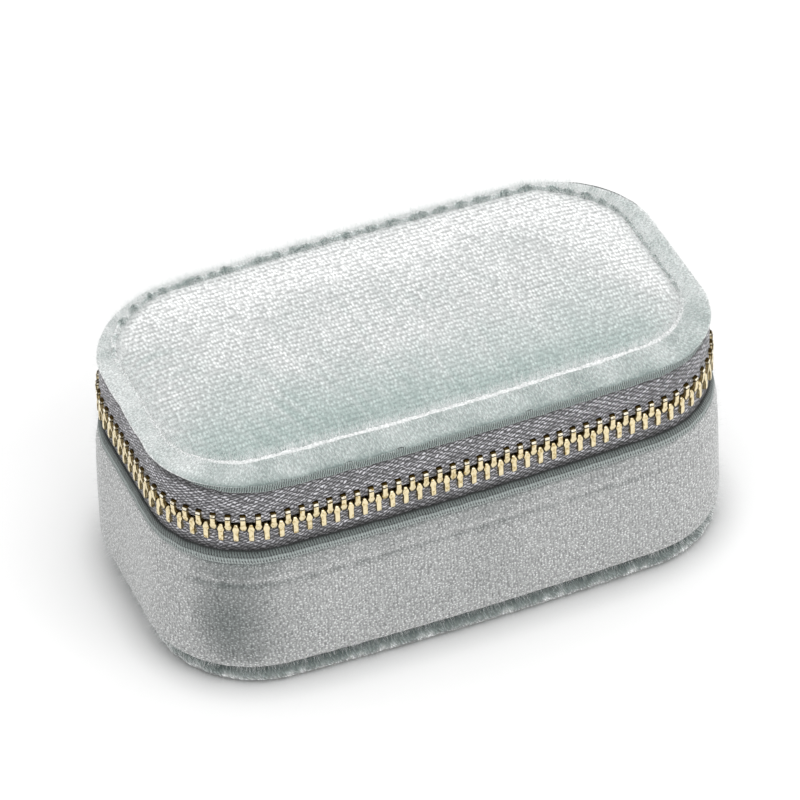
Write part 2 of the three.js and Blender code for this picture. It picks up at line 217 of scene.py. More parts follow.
def new_object(name, verts, faces, mat, corner=None, point=None):
    """A smooth object. "wc" holds weave coordinates u, v in mm and a tone, by corner or point."""
    mesh = bpy.data.meshes.new(name)
    mesh.from_pydata([tuple(v) for v in np.asarray(verts) * MM], [], faces)
    for domain, values in (("CORNER", corner), ("POINT", point)):
        if values is not None:
            attribute = mesh.attributes.new("wc", "FLOAT_VECTOR", domain)
            attribute.data.foreach_set("vector", np.asarray(values, np.float32).ravel())
    bm = bmesh.new()
    bm.from_mesh(mesh)
    bmesh.ops.recalc_face_normals(bm, faces=bm.faces)
    bm.to_mesh(mesh)
    bm.free()
    mesh.polygons.foreach_set("use_smooth", [True] * len(mesh.polygons))
    mesh.update()
    obj = bpy.data.objects.new(name, mesh)
    bpy.context.scene.collection.objects.link(obj)
    mesh.materials.append(mat)
    return obj


def sweep_data(profile, step, start=None, end=None, move=None, tone=None):
    """Vertices, faces and corner weave coordinates of a closed profile swept round the outline.

    move(s, inset, z) returns offsets of inset and z; tone(s, angle, inset, z) returns tones.
    """
    profile = np.asarray(profile, float)
    closed = start is None
    if closed:
        n = int(round(PERIMETER / step))
        ss = np.linspace(0, PERIMETER, n, endpoint=False)
    else:
        n = max(2, int(round((end - start) / step)) + 1)
        ss = np.linspace(start, end, n)
    c = outline(ss)
    m = len(profile)
    inset = np.repeat(profile[None, :, 0], n, 0)
    z = np.repeat(profile[None, :, 1], n, 0)
    if move is not None:
        inset_shift, z_shift = move(ss[:, None], inset, z)
        inset, z = inset + inset_shift, z + z_shift
    tones = np.zeros_like(inset)
    if tone is not None:
        tones = np.broadcast_to(tone(ss[:, None], c[:, 3:4], inset, z), inset.shape)
    x = c[:, 0:1] + (c[:, 2:3] - inset) * np.cos(c[:, 3:4])
    y = c[:, 1:2] + (c[:, 2:3] - inset) * np.sin(c[:, 3:4])
    verts = np.stack([x, y, z], -1).reshape(-1, 3)
    mean = np.stack([inset.mean(0), z.mean(0)], 1)
    v = path_lengths(np.vstack([mean, mean[:1]]))
    wc = []
    for i in range(n if closed else n - 1):
        i2 = (i + 1) % n
        u0, u1 = ss[i], (ss[i + 1] if i + 1 < n else PERIMETER)
        for j in range(m):
            j2 = (j + 1) % m
            wc += [(u0, v[j], tones[i, j]), (u0, v[j + 1], tones[i, j2]),
                   (u1, v[j + 1], tones[i2, j2]), (u1, v[j], tones[i2, j])]
    if not closed:
        wc += [(ss[0] - profile[k, 0], v[k], 0) for k in range(m)]
        wc += [(ss[-1] + profile[k, 0], v[k], 0) for k in reversed(range(m))]
    return verts, tube_faces(n, m, closed), wc


def sweep(name, profile, mat, step, start=None, end=None, move=None, tone=None):
    verts, faces, wc = sweep_data(profile, step, start, end, move, tone)
    return new_object(name, verts, faces, mat, corner=wc)


def join(name, parts, mat):
    """Several swept pieces as one object."""
    all_verts, all_faces, all_wc, offset = [], [], [], 0
    for verts, faces, wc in parts:
        all_verts.append(verts)
        all_faces += [tuple(k + offset for k in face) for face in faces]
        all_wc += wc
        offset += len(verts)
    return new_object(name, np.vstack(all_verts), all_faces, mat, corner=all_wc)


def place(obj, body, slot, *nodes):
    """Attaches a piece to its body and hides the CAD nodes it stands in for; slot is not used."""
    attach(obj, body)
    if nodes:
        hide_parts(*nodes)
    return obj


def set_all(target, **values):
    for key, value in values.items():
        setattr(target, key, value)


# ------------------------------------------------------------------ node helpers
class Signal:
    """A shader output that makes a math node when combined with + - * or /."""

    def __init__(self, net, socket):
        self.net = net
        self.socket = socket

    def __add__(self, other):
        return self.net.math("ADD", self, other)

    def __radd__(self, other):
        return self.net.math("ADD", other, self)

    def __sub__(self, other):
        return self.net.math("SUBTRACT", self, other)

    def __rsub__(self, other):
        return self.net.math("SUBTRACT", other, self)

    def __mul__(self, other):
        return self.net.math("MULTIPLY", self, other)

    def __truediv__(self, other):
        return self.net.math("DIVIDE", self, other)

    def clamped(self):
        self.socket.node.use_clamp = True
        return self


class NodeNet:
    """A material with one Principled shader and short ways to add nodes."""

    def __init__(self, name):
        self.mat = bpy.data.materials.new(name)
        self.mat.use_nodes = True
        self.tree = self.mat.node_tree
        self.tree.nodes.clear()
        out = self.tree.nodes.new("ShaderNodeOutputMaterial")
        self.shader = self.tree.nodes.new("ShaderNodeBsdfPrincipled")
        self.tree.links.new(self.shader.outputs[0], out.inputs[0])

    def put(self, socket, value):
        if isinstance(value, Signal):
            self.tree.links.new(value.socket, socket)
        else:
            socket.default_value = value

    def outputs(self, kind, names, inputs=None, **props):
        node = self.tree.nodes.new("ShaderNode" + kind)
        set_all(node, **props)
        for key, value in (inputs or {}).items():
            self.put(node.inputs[key], value)
        return [Signal(self, node.outputs[name]) for name in names]

    def output(self, kind, name=0, inputs=None, **props):
        return self.outputs(kind, [name], inputs, **props)[0]

    def math(self, operation, first, second=0.0):
        return self.output("Math", 0, {0: first, 1: second}, operation=operation)

    def vector_math(self, operation, first, second):
        return self.output("VectorMath", 0, {0: first, 1: second}, operation=operation)

    def scaled(self, vector, x, y, z=1.0):
        return self.vector_math("MULTIPLY", vector, (x, y, z))

    def times(self, colour, factor):
        """A colour multiplied by a single value."""
        grey_factor = self.output("CombineXYZ", 0, {0: factor, 1: factor, 2: factor})
        return self.vector_math("MULTIPLY", colour, grey_factor)

    def mix(self, factor, first, second):
        first, second = ((*c, 1) if isinstance(c, tuple) else c for c in (first, second))
        return self.output("Mix", 2, {0: factor, 6: first, 7: second}, data_type="RGBA")

    def ramp(self, factor, stops):
        node = self.tree.nodes.new("ShaderNodeValToRGB")
        elements = node.color_ramp.elements
        while len(elements) < len(stops):
            elements.new(0.5)
        for element, (position, colour) in zip(elements, stops):
            element.position = position
            element.color = (*colour, 1)
        self.put(node.inputs[0], factor)
        return Signal(self, node.outputs[0])

    def threshold(self, factor, low, high):
        """Black below low, white above high."""
        return self.ramp(factor, [(low, (0, 0, 0)), (high, (1, 1, 1))])

    def map_range(self, value, source, target):
        return self.output("MapRange", 0, {0: value, 1: source[0], 2: source[1],
                                           3: target[0], 4: target[1]})

    def noise(self, vector, scale, detail=2.0, roughness=0.5, distortion=0.0):
        return self.output("TexNoise", 0, {
            "Vector": vector, "Scale": scale, "Detail": detail, "Roughness": roughness,
            "Distortion": distortion})

    def bump(self, height, strength, distance):
        """Bump normal; distance is in metres."""
        return self.output("Bump", 0, {"Strength": strength, "Distance": distance,
                                       "Height": height})

    def facing(self, blend):
        return self.output("LayerWeight", "Facing", {"Blend": blend})

    def object_coords(self):
        return self.output("TexCoord", "Object")

    def weave(self):
        """The wc attribute, then its three parts."""
        wc = self.output("Attribute", "Vector", attribute_name="wc")
        return [wc, *self.outputs("SeparateXYZ", "XYZ", {0: wc})]

    def surface(self, **values):
        """Sets Principled inputs and returns the material."""
        for key, value in values.items():
            self.put(self.shader.inputs[key.replace("_", " ")], value)
        return self.mat


def grey(value, tint):
    """Linear colour of a grey with display value 0 to 255; tint pulls it toward green."""
    def linear(c):
        return c / 255 / 12.92 if c <= 10 else ((c / 255 + 0.055) / 1.055) ** 2.4
    return linear(value - tint), linear(value + tint * 0.35), linear(value + tint * 0.05)


def greys(*rows):
    """Ramp stops from rows of position, display value, tint."""
    return [(position, grey(value, tint)) for position, value, tint in rows]


# ------------------------------------------------------------------ materials
def velvet(name, stops, row=0.66, tuft=0.56, spark=0.8, grain=0.3, patch=0.25, patch_scale=95.0,
           rows=0.1, rand=0.5, bump=0.00012, slant=0.0, turn=False, amp=(0.35, 1.7),
           spot_range=(0.12, 0.5), wobble=0.5):
    """Crushed-pile velvet: rows of knitted tufts, brushed patches, and a painted sheen that turns
    it pale where seen edge on.

    row, tuft: spacing across and along the rows; rand, wobble, slant: how uneven they lie.
    spark, rows, grain, patch: contrast of tufts, rows, fibres and patches.
    amp: tuft contrast face on, and what is added edge on as painted sheen; turn swaps u and v;
    bump is in metres.
    """
    tuft_variation, row_wobble = 1.0, wobble * 1.6
    fibre_height, mean_spot = 0.6, 0.36
    net = NodeNet(name)
    _, u, v, tone = net.weave()
    if turn:
        u, v = v, u
    coords = net.object_coords()
    wobble_v = net.noise(coords, scale=170.0)
    wobble_u = net.noise(coords, scale=330.0)
    v = v_moved = v + wobble_v * row_wobble if False else v
    v_moved = v + wobble_v * row_wobble
    u_moved = u + v * slant + wobble_u * wobble
    cell = net.output("CombineXYZ", 0, {0: u_moved / tuft, 1: v_moved / row})
    distance, cell_colour = net.outputs(
        "TexVoronoi", ("Distance", "Color"), {"Vector": cell, "Scale": 1.0, "Randomness": rand},
        voronoi_dimensions="2D")
    chance = net.output("SeparateColor", 0, {0: cell_colour})
    spot = net.map_range(distance, spot_range, (1.0, 0.0))
    spot = spot * (0.3 + chance * tuft_variation)
    row_wave = net.math("SINE", v_moved * (2 * math.pi / row))
    patches = net.noise(coords, patch_scale, detail=3.0, roughness=0.55, distortion=0.5)
    fine = net.noise(net.scaled(coords, 1.0, 1.0, 0.5), scale=2700.0, roughness=0.8)
    height = spot + (row_wave * rows + fine * fibre_height)
    normal = net.bump(height, strength=0.6, distance=bump)
    # Painted sheen: the colour ramp runs from face on to edge on; tone adds per-piece shifts,
    # mostly painted light and shade.
    edge_on = net.facing(0.5)
    shade = edge_on + (patches - 0.5) * patch
    colour = net.ramp((shade + tone).clamped(), stops)
    contrast = amp[0] + edge_on * amp[1]
    factor = (spot - mean_spot) * spark + row_wave * (rows * 0.5)
    factor = factor * contrast
    factor = 1.0 + (factor + (fine - 0.5) * grain)
    colour = net.times(colour, factor)
    colour = net.vector_math("MINIMUM", colour, (0.97, 0.98, 0.975))
    return net.surface(Base_Color=colour, Roughness=0.85, Normal=normal, Specular_IOR_Level=0.1,
                       Sheen_Weight=0.2, Sheen_Roughness=0.4, Sheen_Tint=(0.95, 0.98, 0.97, 1))


VELVET_TOP = velvet(
    "velvet_panel",
    greys((0.0, 158, 12), (0.13, 178, 9), (0.36, 207, 2), (0.52, 233, 1), (0.9, 238, 1)),
    row=1.16, tuft=0.60, spark=0.62, grain=0.95, patch=0.2, rows=0.20, rand=0.75, wobble=0.30,
    spot_range=(0.05, 0.55))
VELVET_RIM = velvet(
    "velvet_rim",
    greys((0.0, 130, 9), (0.15, 160, 8), (0.34, 186, 6), (0.55, 213, 3), (0.9, 236, 2)),
    row=0.8, tuft=0.42, spark=0.5, grain=0.9, patch=0.34, patch_scale=150.0, rows=0.04, rand=0.95)
VELVET_WALL = velvet(
    "velvet_wall",
    greys((0.0, 128, 4), (0.15, 160, 2), (0.29, 190, 1), (0.72, 201, 0.5), (1.0, 214, 1)),
    row=0.61, tuft=0.56, spark=1.1, grain=1.3, patch=0.10, patch_scale=60.0, rows=0.14, rand=0.95,
    bump=0.0001, wobble=0.16, spot_range=(0.03, 0.36), turn=True, amp=(0.80, 0.15))
VELVET_EDGE = velvet(
    "velvet_edge",
    greys((0.0, 130, 9), (0.15, 160, 8), (0.34, 190, 6), (0.55, 222, 3), (0.8, 252, 1)),
    row=0.55, tuft=0.55, spark=1.1, grain=0.7, patch=0.3, patch_scale=300.0, rows=0.0, rand=1.0)
VELVET_WELT = velvet(
    "velvet_welt", greys((0.0, 106, 7), (0.3, 136, 6), (0.6, 166, 4), (1.0, 214, 2)),
    row=1.1, tuft=0.34, spark=0.9, grain=0.7, patch=0.5, patch_scale=200.0, rows=0.0, rand=1.0,
    slant=0.5)


def hem_material(name, rib_pitch, bands):
    """Turned-in edge of the velvet: its flat knitted back, ribbed across and banded along v. The
    darkest bands are a painted shadow where the hem turns in against the zip tape.

    bands are rows of position (v / 8 mm), display value, tint, rib strength.
    """
    per_mm = 0.125
    net = NodeNet(name)
    wc, u, v, _ = net.weave()
    noise = net.noise(net.scaled(wc, 0.7, 1.6), scale=1.0, detail=3.0)
    fibre = net.noise(net.scaled(wc, 5.0, 3.0), scale=1.0, detail=3.0)
    rib = net.math("SINE", (u + v * 0.22 + noise * 0.35) * (2 * math.pi / rib_pitch))
    base = net.ramp(v * per_mm + (noise - 0.5) * 0.03, greys(*(band[:3] for band in bands)))
    strength = net.ramp(v * per_mm, [(band[0], (band[3],) * 3) for band in bands])
    uneven = net.noise(net.scaled(wc, 1.3, 2.5), scale=1.0, detail=3.0, roughness=0.65)
    strength = strength * net.map_range(uneven, (0.33, 0.66), (0.15, 1.7))
    factor = 1.0 + (rib * strength * 0.5 + (fibre - 0.5) * 1.1)
    colour = net.times(base, factor)
    normal = net.bump(rib * strength, strength=0.7, distance=0.00015)
    return net.surface(Base_Color=colour, Roughness=0.8, Normal=normal, Sheen_Weight=0.15)


def tape_material(name, v_sign, shadow_edge):
    """Grey-violet zip tape: slanted floats in lines that step across it, dark between them.

    The last argument is the range of v over which a painted shadow along the tape's edge, under
    the velvet hem, fades out.
    """
    wander_u, wander_v = 1.25, 1.0
    line_slope, line_spacing = 0.565, 1.0
    float_length, float_shift, float_lean = 0.60, 0.41, 0.62
    net = NodeNet(name)
    wc, along, across, _ = net.weave()
    jitter_u = net.noise(net.scaled(wc, 0.8, 1.0), scale=1.0, detail=3.0)
    shifted = net.vector_math("ADD", net.scaled(wc, 0.9, 0.9), (31.0, 17.0, 5.0))
    jitter_v = net.noise(shifted, scale=1.0)
    u = along + jitter_u * wander_u
    v = across * v_sign + jitter_v * wander_v
    line = (v + u * line_slope) / line_spacing
    line_number = net.math("FLOOR", line)
    in_line = line - line_number - 0.5
    place_along = u / float_length + line_number * float_shift - in_line / float_lean
    in_float = place_along - net.math("FLOOR", place_along) - 0.5
    height = (1.0 - (in_float * in_float * 5.2 + in_line * in_line * 3.6)).clamped()
    float_id = net.output("CombineXYZ", 0, {0: net.math("FLOOR", place_along), 1: line_number})
    chance = net.output("TexWhiteNoise", 0, {"Vector": float_id})
    fibre = net.noise(net.scaled(wc, 7.0, 7.0), scale=1.0, detail=3.0)
    shade = (height * (0.45 + chance * 0.75) + (fibre - 0.45) * 0.75).clamped()
    colour = net.ramp(shade, greys((0.0, 62, 0), (0.2, 92, 0), (0.5, 147, 0), (0.95, 222, 0)))
    violet = net.scaled(colour, 0.99, 0.965, 1.09)
    colour = net.mix(0.5, colour, violet)
    # painted shadow along the edge of the tape where it runs under the velvet hem
    edge = net.map_range(across + (jitter_u - 0.5) * 0.9, shadow_edge, (0.30, 1.0))
    colour = net.times(colour, edge)
    normal = net.bump(height, strength=0.9, distance=0.00022)
    return net.surface(Base_Color=colour, Roughness=0.65, Normal=normal, Sheen_Weight=0.2,
                       Sheen_Roughness=0.4)


def gold_material(name, stamped=False):
    """Pale gold plate. Stamped teeth get painted shade on their flanks and in their grooves, and a
    nearly white painted highlight on their caps.
    """
    net = NodeNet(name)
    coords = net.object_coords()
    mottle = net.noise(coords, scale=900.0, detail=4.0, roughness=0.6)
    brushing = net.noise(net.scaled(coords, 1.0, 1.0, 7.0), scale=2400.0)
    edge = net.threshold(net.output("NewGeometry", "Pointiness"), 0.47, 0.56)
    colour = net.mix(mottle, (0.47, 0.36, 0.145), (0.72, 0.59, 0.30))
    colour = net.mix(edge * 0.6, colour, (1.0, 0.90, 0.66))
    if stamped:
        # painted shade and painted highlight on the teeth, read from the wc attribute and broken
        # up by noise
        _, flank, deep, cap = net.weave()
        painted_light_noise = net.noise(coords, scale=2600.0, detail=3.0, roughness=0.7)
        pale = net.threshold(cap + painted_light_noise * 0.3, 0.55, 0.8)
        colour = net.mix(pale, colour, (0.98, 0.93, 0.78))
        blot = net.noise(coords, scale=1500.0, roughness=0.6)
        colour = net.mix(net.threshold(blot, 0.50, 0.72), colour, (0.40, 0.28, 0.09))
        shade = net.math("MAXIMUM", flank, deep) + (painted_light_noise - 0.5) * 0.5
        colour = net.mix(net.threshold(shade, 0.42, 0.85), colour, (0.045, 0.028, 0.006))
    roughness = 0.14 + brushing * 0.2
    normal = net.bump(brushing, strength=0.25, distance=0.00004)
    return net.surface(Base_Color=colour, Metallic=1.0, Roughness=roughness, Normal=normal)


def lining_material():
    fine_height = 1.0
    net = NodeNet("suede_lining")
    coords = net.object_coords()
    nap = net.noise(coords, scale=130.0, detail=4.0, roughness=0.6, distortion=0.6)
    fine = net.noise(coords, scale=2200.0, detail=3.0, roughness=0.75)
    edge_on = net.facing(0.45)
    normal = net.bump(fine * fine_height + nap * 0.3, strength=0.6, distance=0.00015)
    # paler where seen edge on: a painted sheen
    shade = (nap * 0.5 + (fine * 0.35 + edge_on * 0.35)).clamped()
    colour = net.ramp(shade, [(0.15, (0.40, 0.455, 0.43)), (0.55, (0.56, 0.61, 0.585)),
                              (0.95, (0.76, 0.79, 0.775))])
    return net.surface(Base_Color=colour, Roughness=0.95, Normal=normal, Sheen_Weight=0.5,
                       Sheen_Roughness=0.5)


def board_material():
    net = NodeNet("grey_board")
    coords = net.object_coords()
    fibre = net.noise(net.scaled(coords, 1, 1, 3.0), scale=700.0, detail=6.0, roughness=0.7)
    mottle = net.noise(coords, scale=60.0)
    colour = net.ramp(fibre * 0.7 + mottle * 0.3,
                      [(0.3, (0.23, 0.215, 0.19)), (0.7, (0.40, 0.38, 0.34))])
    normal = net.bump(fibre, strength=0.4, distance=0.0001)
    return net.surface(Base_Color=colour, Roughness=0.9, Normal=normal)


def foam_material():
    net = NodeNet("open_cell_foam")
    coords = net.object_coords()
    cells = net.output("TexVoronoi", 0, {"Vector": coords, "Scale": 1500.0})
    mottle = net.noise(coords, scale=200.0, detail=3.0)
    colour = net.ramp(cells * 0.7 + mottle * 0.4,
                      [(0.1, (0.55, 0.51, 0.42)), (0.6, (0.80, 0.77, 0.68))])
    normal = net.bump(cells, strength=0.7, distance=0.0003)
    return net.surface(Base_Color=colour, Roughness=1.0, Normal=normal)


def mirror_material():
    net = NodeNet("silvered_glass")
    haze = net.noise(net.object_coords(), scale=40.0, detail=3.0)
    colour = net.mix(haze, (0.66, 0.71, 0.73), (0.80, 0.84, 0.85))
    return net.surface(Base_Color=colour, Metallic=1.0, Roughness=0.015 + haze * 0.03,
                       Coat_Weight=0.6, Coat_Roughness=0.02)


# the last, darkest bands are a painted shadow where the tape goes in behind the hem
HEM = hem_material("velvet_back", rib_pitch=0.5, bands=[
    (0.0, 150, 6, 0.5), (0.11, 162, 5, 0.8), (0.15, 136, 6, 1.6), (0.19, 158, 6, 0.6),
    (0.225, 144, 6, 0.6), (0.25, 88, 6, 1.7), (0.29, 112, 6, 1.2), (0.37, 92, 6, 1.4),
    (0.40, 44, 4, 0.4), (1.0, 40, 4, 0.2)])
# the bands from 0.29 on darken into a painted shadow line between the rim and the tape
HEM_LID = hem_material("velvet_back_lid", rib_pitch=0.42, bands=[
    (0.0, 150, 7, 0.9), (0.06, 134, 8, 1.3), (0.155, 138, 8, 1.3), (0.18, 178, 6, 0.35),
    (0.245, 168, 6, 0.3), (0.29, 100, 5, 0.5), (0.33, 60, 4, 0.3), (1.0, 52, 4, 0.2)])
TAPE_LID = tape_material("zip_tape_weave_lid", v_sign=-1.0, shadow_edge=(0.95, 1.7))
TAPE_BASE = tape_material("zip_tape_weave_base", v_sign=1.0, shadow_edge=(3.5, 4.6))
GOLD = gold_material("light_gold")
LINING = lining_material()
GOLD_TEETH = gold_material("stamped_gold", stamped=True)
BOARD = board_material()
FOAM = foam_material()
MIRROR = mirror_material()

# ------------------------------------------------------------------ base: wall
WALL_PROFILE = rounded([
    (1.35, 28.7), (0.95, 29.0), (0.55, 28.6), (0.25, 27.2), (0.02, 25.2), (0.05, 24.3),
    (-0.10, 22.5), (-0.22, 17), (-0.32, 11), (-0.42, 6.6), (-0.30, 4.9), (0.30, 4.2),
    (1.2, 4.15), (1.35, 6), (1.35, 16), (1.35, 27)], gap=0.55)


def wall_move(s, inset, z):
    """A stitched groove near the top with puckers over it, a slack face, small waves below."""
    outer = clip01((1.2 - inset) / 0.8)
    stitch = bell(z, 24.4, 0.55) * outer
    pucker = wave(s, 62, 84, seed=3) * bell(z, 25.2, 1.9) * outer
    sag = wave(s, 5, 14, seed=5) * 0.10 * np.sin(clip01((z - 4) / 24) * math.pi) * outer
    low = wave(s, 40, 75, seed=8) * 0.06 * bell(z, 5.6, 1.4) * outer
    lift = 0.06 * wave(s, 30, 70, seed=9) * outer * bell(z, 28.6, 1.0)
    return 0.13 * stitch + 0.055 * pucker + sag + low, lift


def wall_tone(s, angle, inset, z):
    """Darker at the front left corner, darker in the groove as painted shade, and paler along the
    top edge as a painted sheen.
    """
    corner = bell(np.degrees(angle), 232, 20.0) * clip01(1.1 - np.abs(z - 15) / 16)
    groove = bell(z, 24.2, 0.8) * np.clip(0.6 + 0.6 * wave(s, 40, 90, seed=15), 0, 1.4)
    edge = 0.05 * bell(z, 28.2, 0.8) - 0.07 * groove
    return -0.22 * corner + edge + 0.025 * wave(s, 6, 22, seed=16)


wall = sweep("base_wall_velvet", WALL_PROFILE, VELVET_WALL, step=0.7, move=wall_move,
             tone=wall_tone)
place(wall, "base", "velvet", "base_wall_cover")

# ------------------------------------------------------------------ base: hem above the wall
HEM_PROFILE = rounded([
    (1.35, 28.3), (0.85, 28.4), (0.55, 28.8), (0.62, 29.4), (0.80, 29.75), (0.72, 30.1),
    (0.95, 30.6), (1.30, 31.1), (1.62, 31.25), (1.7, 30.6), (1.55, 29)], gap=0.2)


def hem_move(s, inset, z):
    return 0.05 * wave(s, 40, 90, seed=11), 0.05 * wave(s, 30, 60, seed=12)


place(sweep("base_wall_hem", HEM_PROFILE, HEM, step=0.7, move=hem_move), "base", "velvet")

# ------------------------------------------------------------------ base: roll round the bottom
WELT_INSET, WELT_Z, WELT_RADIUS = 1.85, 1.74, 1.66
WELT_PROFILE = [(WELT_INSET - WELT_RADIUS * math.cos(t), WELT_Z + WELT_RADIUS * math.sin(t))
                for t in np.linspace(0, 2 * math.pi, 24, endpoint=False)]


def welt_move(s, inset, z):
    """Swells unevenly, and is tucked in along the left side."""
    lump = 0.16 * wave(s, 50, 95, seed=21) + 0.08 * wave(s, 120, 190, seed=22)
    side = np.clip((WELT_INSET - inset) / WELT_RADIUS, -1, 1)
    up = (z - WELT_Z) / WELT_RADIUS
    tuck = 0.9 * clip01(-np.cos(normal_angle(s))) ** 2
    return -lump * side * 0.6 + tuck, lump * up * 0.45 * clip01(up + 0.6)


def welt_shading(s, angle, inset, z):
    # painted highlight on the pile fringe low down, in bright clusters; painted shade toward the
    # top, where the welt tucks under the wall
    fringe_highlight = clip01(wave(s, 18, 60, seed=24) * 1.2 + wave(s, 90, 170, seed=25) * 0.7 - 0.15)
    low = clip01((3.0 - z) / 1.2)
    return 0.10 * low + 0.45 * low * fringe_highlight - 0.12 * clip01((z - 2.6) / 0.7)


welt = sweep("base_bottom_roll", WELT_PROFILE, VELVET_WELT, step=0.6, move=welt_move,
             tone=welt_shading)
place(welt, "base", "velvet", "base_bottom_welt")


# ------------------------------------------------------------------ flat and crowned panels
def outline_sides(inset):
    """The inset outline cut at its diagonals: points, path fraction and angle by side."""
    c = outline(np.linspace(0, PERIMETER, 1440, endpoint=False))
    angle = c[:, 3]
    if callable(inset):
        inset = inset(angle)
    points = np.stack([c[:, 0] + (c[:, 2] - inset) * np.cos(angle),
                       c[:, 1] + (c[:, 2] - inset) * np.sin(angle)], 1)
    wrapped = np.mod(angle, 2 * math.pi)
    sides = {}
    tangents = {"right": (0, 1), "back": (-1, 0), "left": (0, -1), "front": (1, 0)}
    for i, (name, tangent) in enumerate(tangents.items()):
        low, high = (2 * i - 1) * QUARTER / 2, (2 * i + 1) * QUARTER / 2
        a = np.where(wrapped > high + 1e-9, wrapped - 2 * math.pi, wrapped)
        a = np.where(a < low - 1e-9, a + 2 * math.pi, a)
        pick = np.where((a >= low) & (a <= high))[0]
        order = pick[np.argsort(points[pick] @ np.array(tangent))]
        t = path_lengths(points[order])
        sides[name] = (points[order], t / t[-1], a[order])
    return sides


def panel_grid(inset, size):
    """A quad grid that fills the outline at an inset: a number, or a function of the angle.

    Returns points, rough distance in from the edge, ring number and normal angle.
    """
    nx, ny = size
    sides = outline_sides(inset)
    half_x, half_y = nx / 2, ny / 2
    spine = HALF_LENGTH - HALF_WIDTH        # half length of the line the rings shrink onto
    points = np.zeros(((nx + 1) * (ny + 1), 2))
    inward, ring, angle = (np.zeros(len(points)) for _ in range(3))
    for j in range(ny + 1):
        for i in range(nx + 1):
            k = min(half_x - abs(i - half_x), half_y - abs(j - half_y))
            t = 1 - k / half_y
            u = (i - half_x) / max(half_x - k, 1e-9)
            v = (j - half_y) / (half_y - k) if half_y - k > 1e-9 else 0.0
            index = j * (nx + 1) + i
            if t < 1e-9:
                points[index] = (spine * u, 0)
            else:
                if abs(abs(v) - 1) < 1e-9 and abs(u) <= 1 + 1e-9:
                    side = "back" if v > 0 else "front"
                    along = (1 - u) / 2 if v > 0 else (1 + u) / 2
                else:
                    side = "right" if u > 0 else "left"
                    along = (1 + v) / 2 if u > 0 else (1 - v) / 2
                edge, fraction, edge_angle = sides[side]
                rim_point = np.array([np.interp(along, fraction, edge[:, 0]),
                                      np.interp(along, fraction, edge[:, 1])])
                centre = np.array([spine * max(-1.0, min(1.0, u)), 0.0])
                points[index] = centre + (rim_point - centre) * t
                angle[index] = np.interp(along, fraction, edge_angle)
            inward[index] = (1 - t) * (HALF_WIDTH - 6.5)
            ring[index] = k
    return points, inward, ring, angle


def grid_faces(size, offset=0, flip=False):
    nx, ny = size
    out = []
    for j in range(ny):
        for i in range(nx):
            a = offset + j * (nx + 1) + i
            face = (a, a + 1, a + nx + 2, a + nx + 1)
            out.append(face[::-1] if flip else face)
    return out


def border_loop(size):
    nx, ny = size
    width = nx + 1
    return ([i for i in range(nx)] + [nx + j * width for j in range(ny)]
            + [ny * width + i for i in range(nx, 0, -1)] + [j * width for j in range(ny, 0, -1)])


def slab(name, points, top, bottom, size, mat, tone=0):
    """A closed slab on a panel grid, with top and bottom heights per point or for all."""
    n = len(points)
    level = np.zeros(n)
    verts = np.vstack([np.c_[points, level + top], np.c_[points, level + bottom]])
    faces = grid_faces(size) + grid_faces(size, n, flip=True)
    loop = border_loop(size)
    for a, b in zip(loop, loop[1:] + loop[:1]):
        faces.append((b, a, a + n, b + n))
    wc = np.c_[verts[:, 0], verts[:, 1] + verts[:, 2] * 0.8, np.tile(level + tone, 2)]
    return new_object(name, verts, faces, mat, point=wc)


def front_share(angle):
    """1 where the outline faces the front, 0 from the sides to the back."""
    return clip01(-np.sin(angle))


# ------------------------------------------------------------------ lid: padded panel
PANEL_SIZE = (200, 100)
PANEL_TOP = 50.0
panel_points, panel_inward, panel_ring, panel_angle = panel_grid(
    lambda angle: seam(angle)[0] + 0.42, PANEL_SIZE)


def crowned_heights():
    """Start heights; the front rises over a longer way than the back."""
    def rise(distance, reach):
        return 1 - np.exp(-(distance / reach) ** 1.25)
    reach = 6.2 + 3.0 * front_share(panel_angle)
    edge_z = seam(panel_angle)[1] - 0.05
    share = rise(panel_inward, reach) / rise(float(panel_inward.max()), reach)
    return edge_z + (PANEL_TOP - edge_z) * share


def inflate_panel(points, heights, ring, size):
    """Blows the panel up as cloth pinned at its edge, at ten times its size, and returns it."""
    scale = 10
    mesh = bpy.data.meshes.new("panel_cloth")
    mesh.from_pydata([tuple(v) for v in np.c_[points, heights] * MM * scale], [],
                     grid_faces(size))
    obj = bpy.data.objects.new("panel_cloth", mesh)
    scene = bpy.context.scene
    scene.collection.objects.link(obj)
    pin = obj.vertex_groups.new(name="pin")
    pin.add([int(i) for i in np.where(ring <= 1)[0]], 1.0, "REPLACE")
    cloth = obj.modifiers.new("cloth", "CLOTH")
    set_all(cloth.settings, quality=5, mass=0.3, tension_stiffness=14, compression_stiffness=14,
            shear_stiffness=5, bending_stiffness=0.15, air_damping=4, use_pressure=True,
            uniform_pressure_force=1.2, vertex_group_mass="pin", shrink_min=-0.006)
    cloth.settings.effector_weights.gravity = 0
    set_all(cloth.point_cache, frame_start=1, frame_end=24)
    for number in range(1, 19):
        scene.frame_set(number)
    evaluated = obj.evaluated_get(bpy.context.evaluated_depsgraph_get())
    co = np.zeros(len(evaluated.data.vertices) * 3)
    evaluated.data.vertices.foreach_get("co", co)
    scene.frame_set(1)
    bpy.data.objects.remove(obj)
    return co.reshape(-1, 3) / MM / scale


def smooth_grid(values, size, rounds):
    grid = values.reshape(size[1] + 1, size[0] + 1).copy()
    for _ in range(rounds):
        new = grid.copy()
        around = grid[:-2, 1:-1] + grid[2:, 1:-1] + grid[1:-1, :-2] + grid[1:-1, 2:]
        new[1:-1, 1:-1] = 0.5 * grid[1:-1, 1:-1] + 0.125 * around
        grid = new
    return grid.ravel()


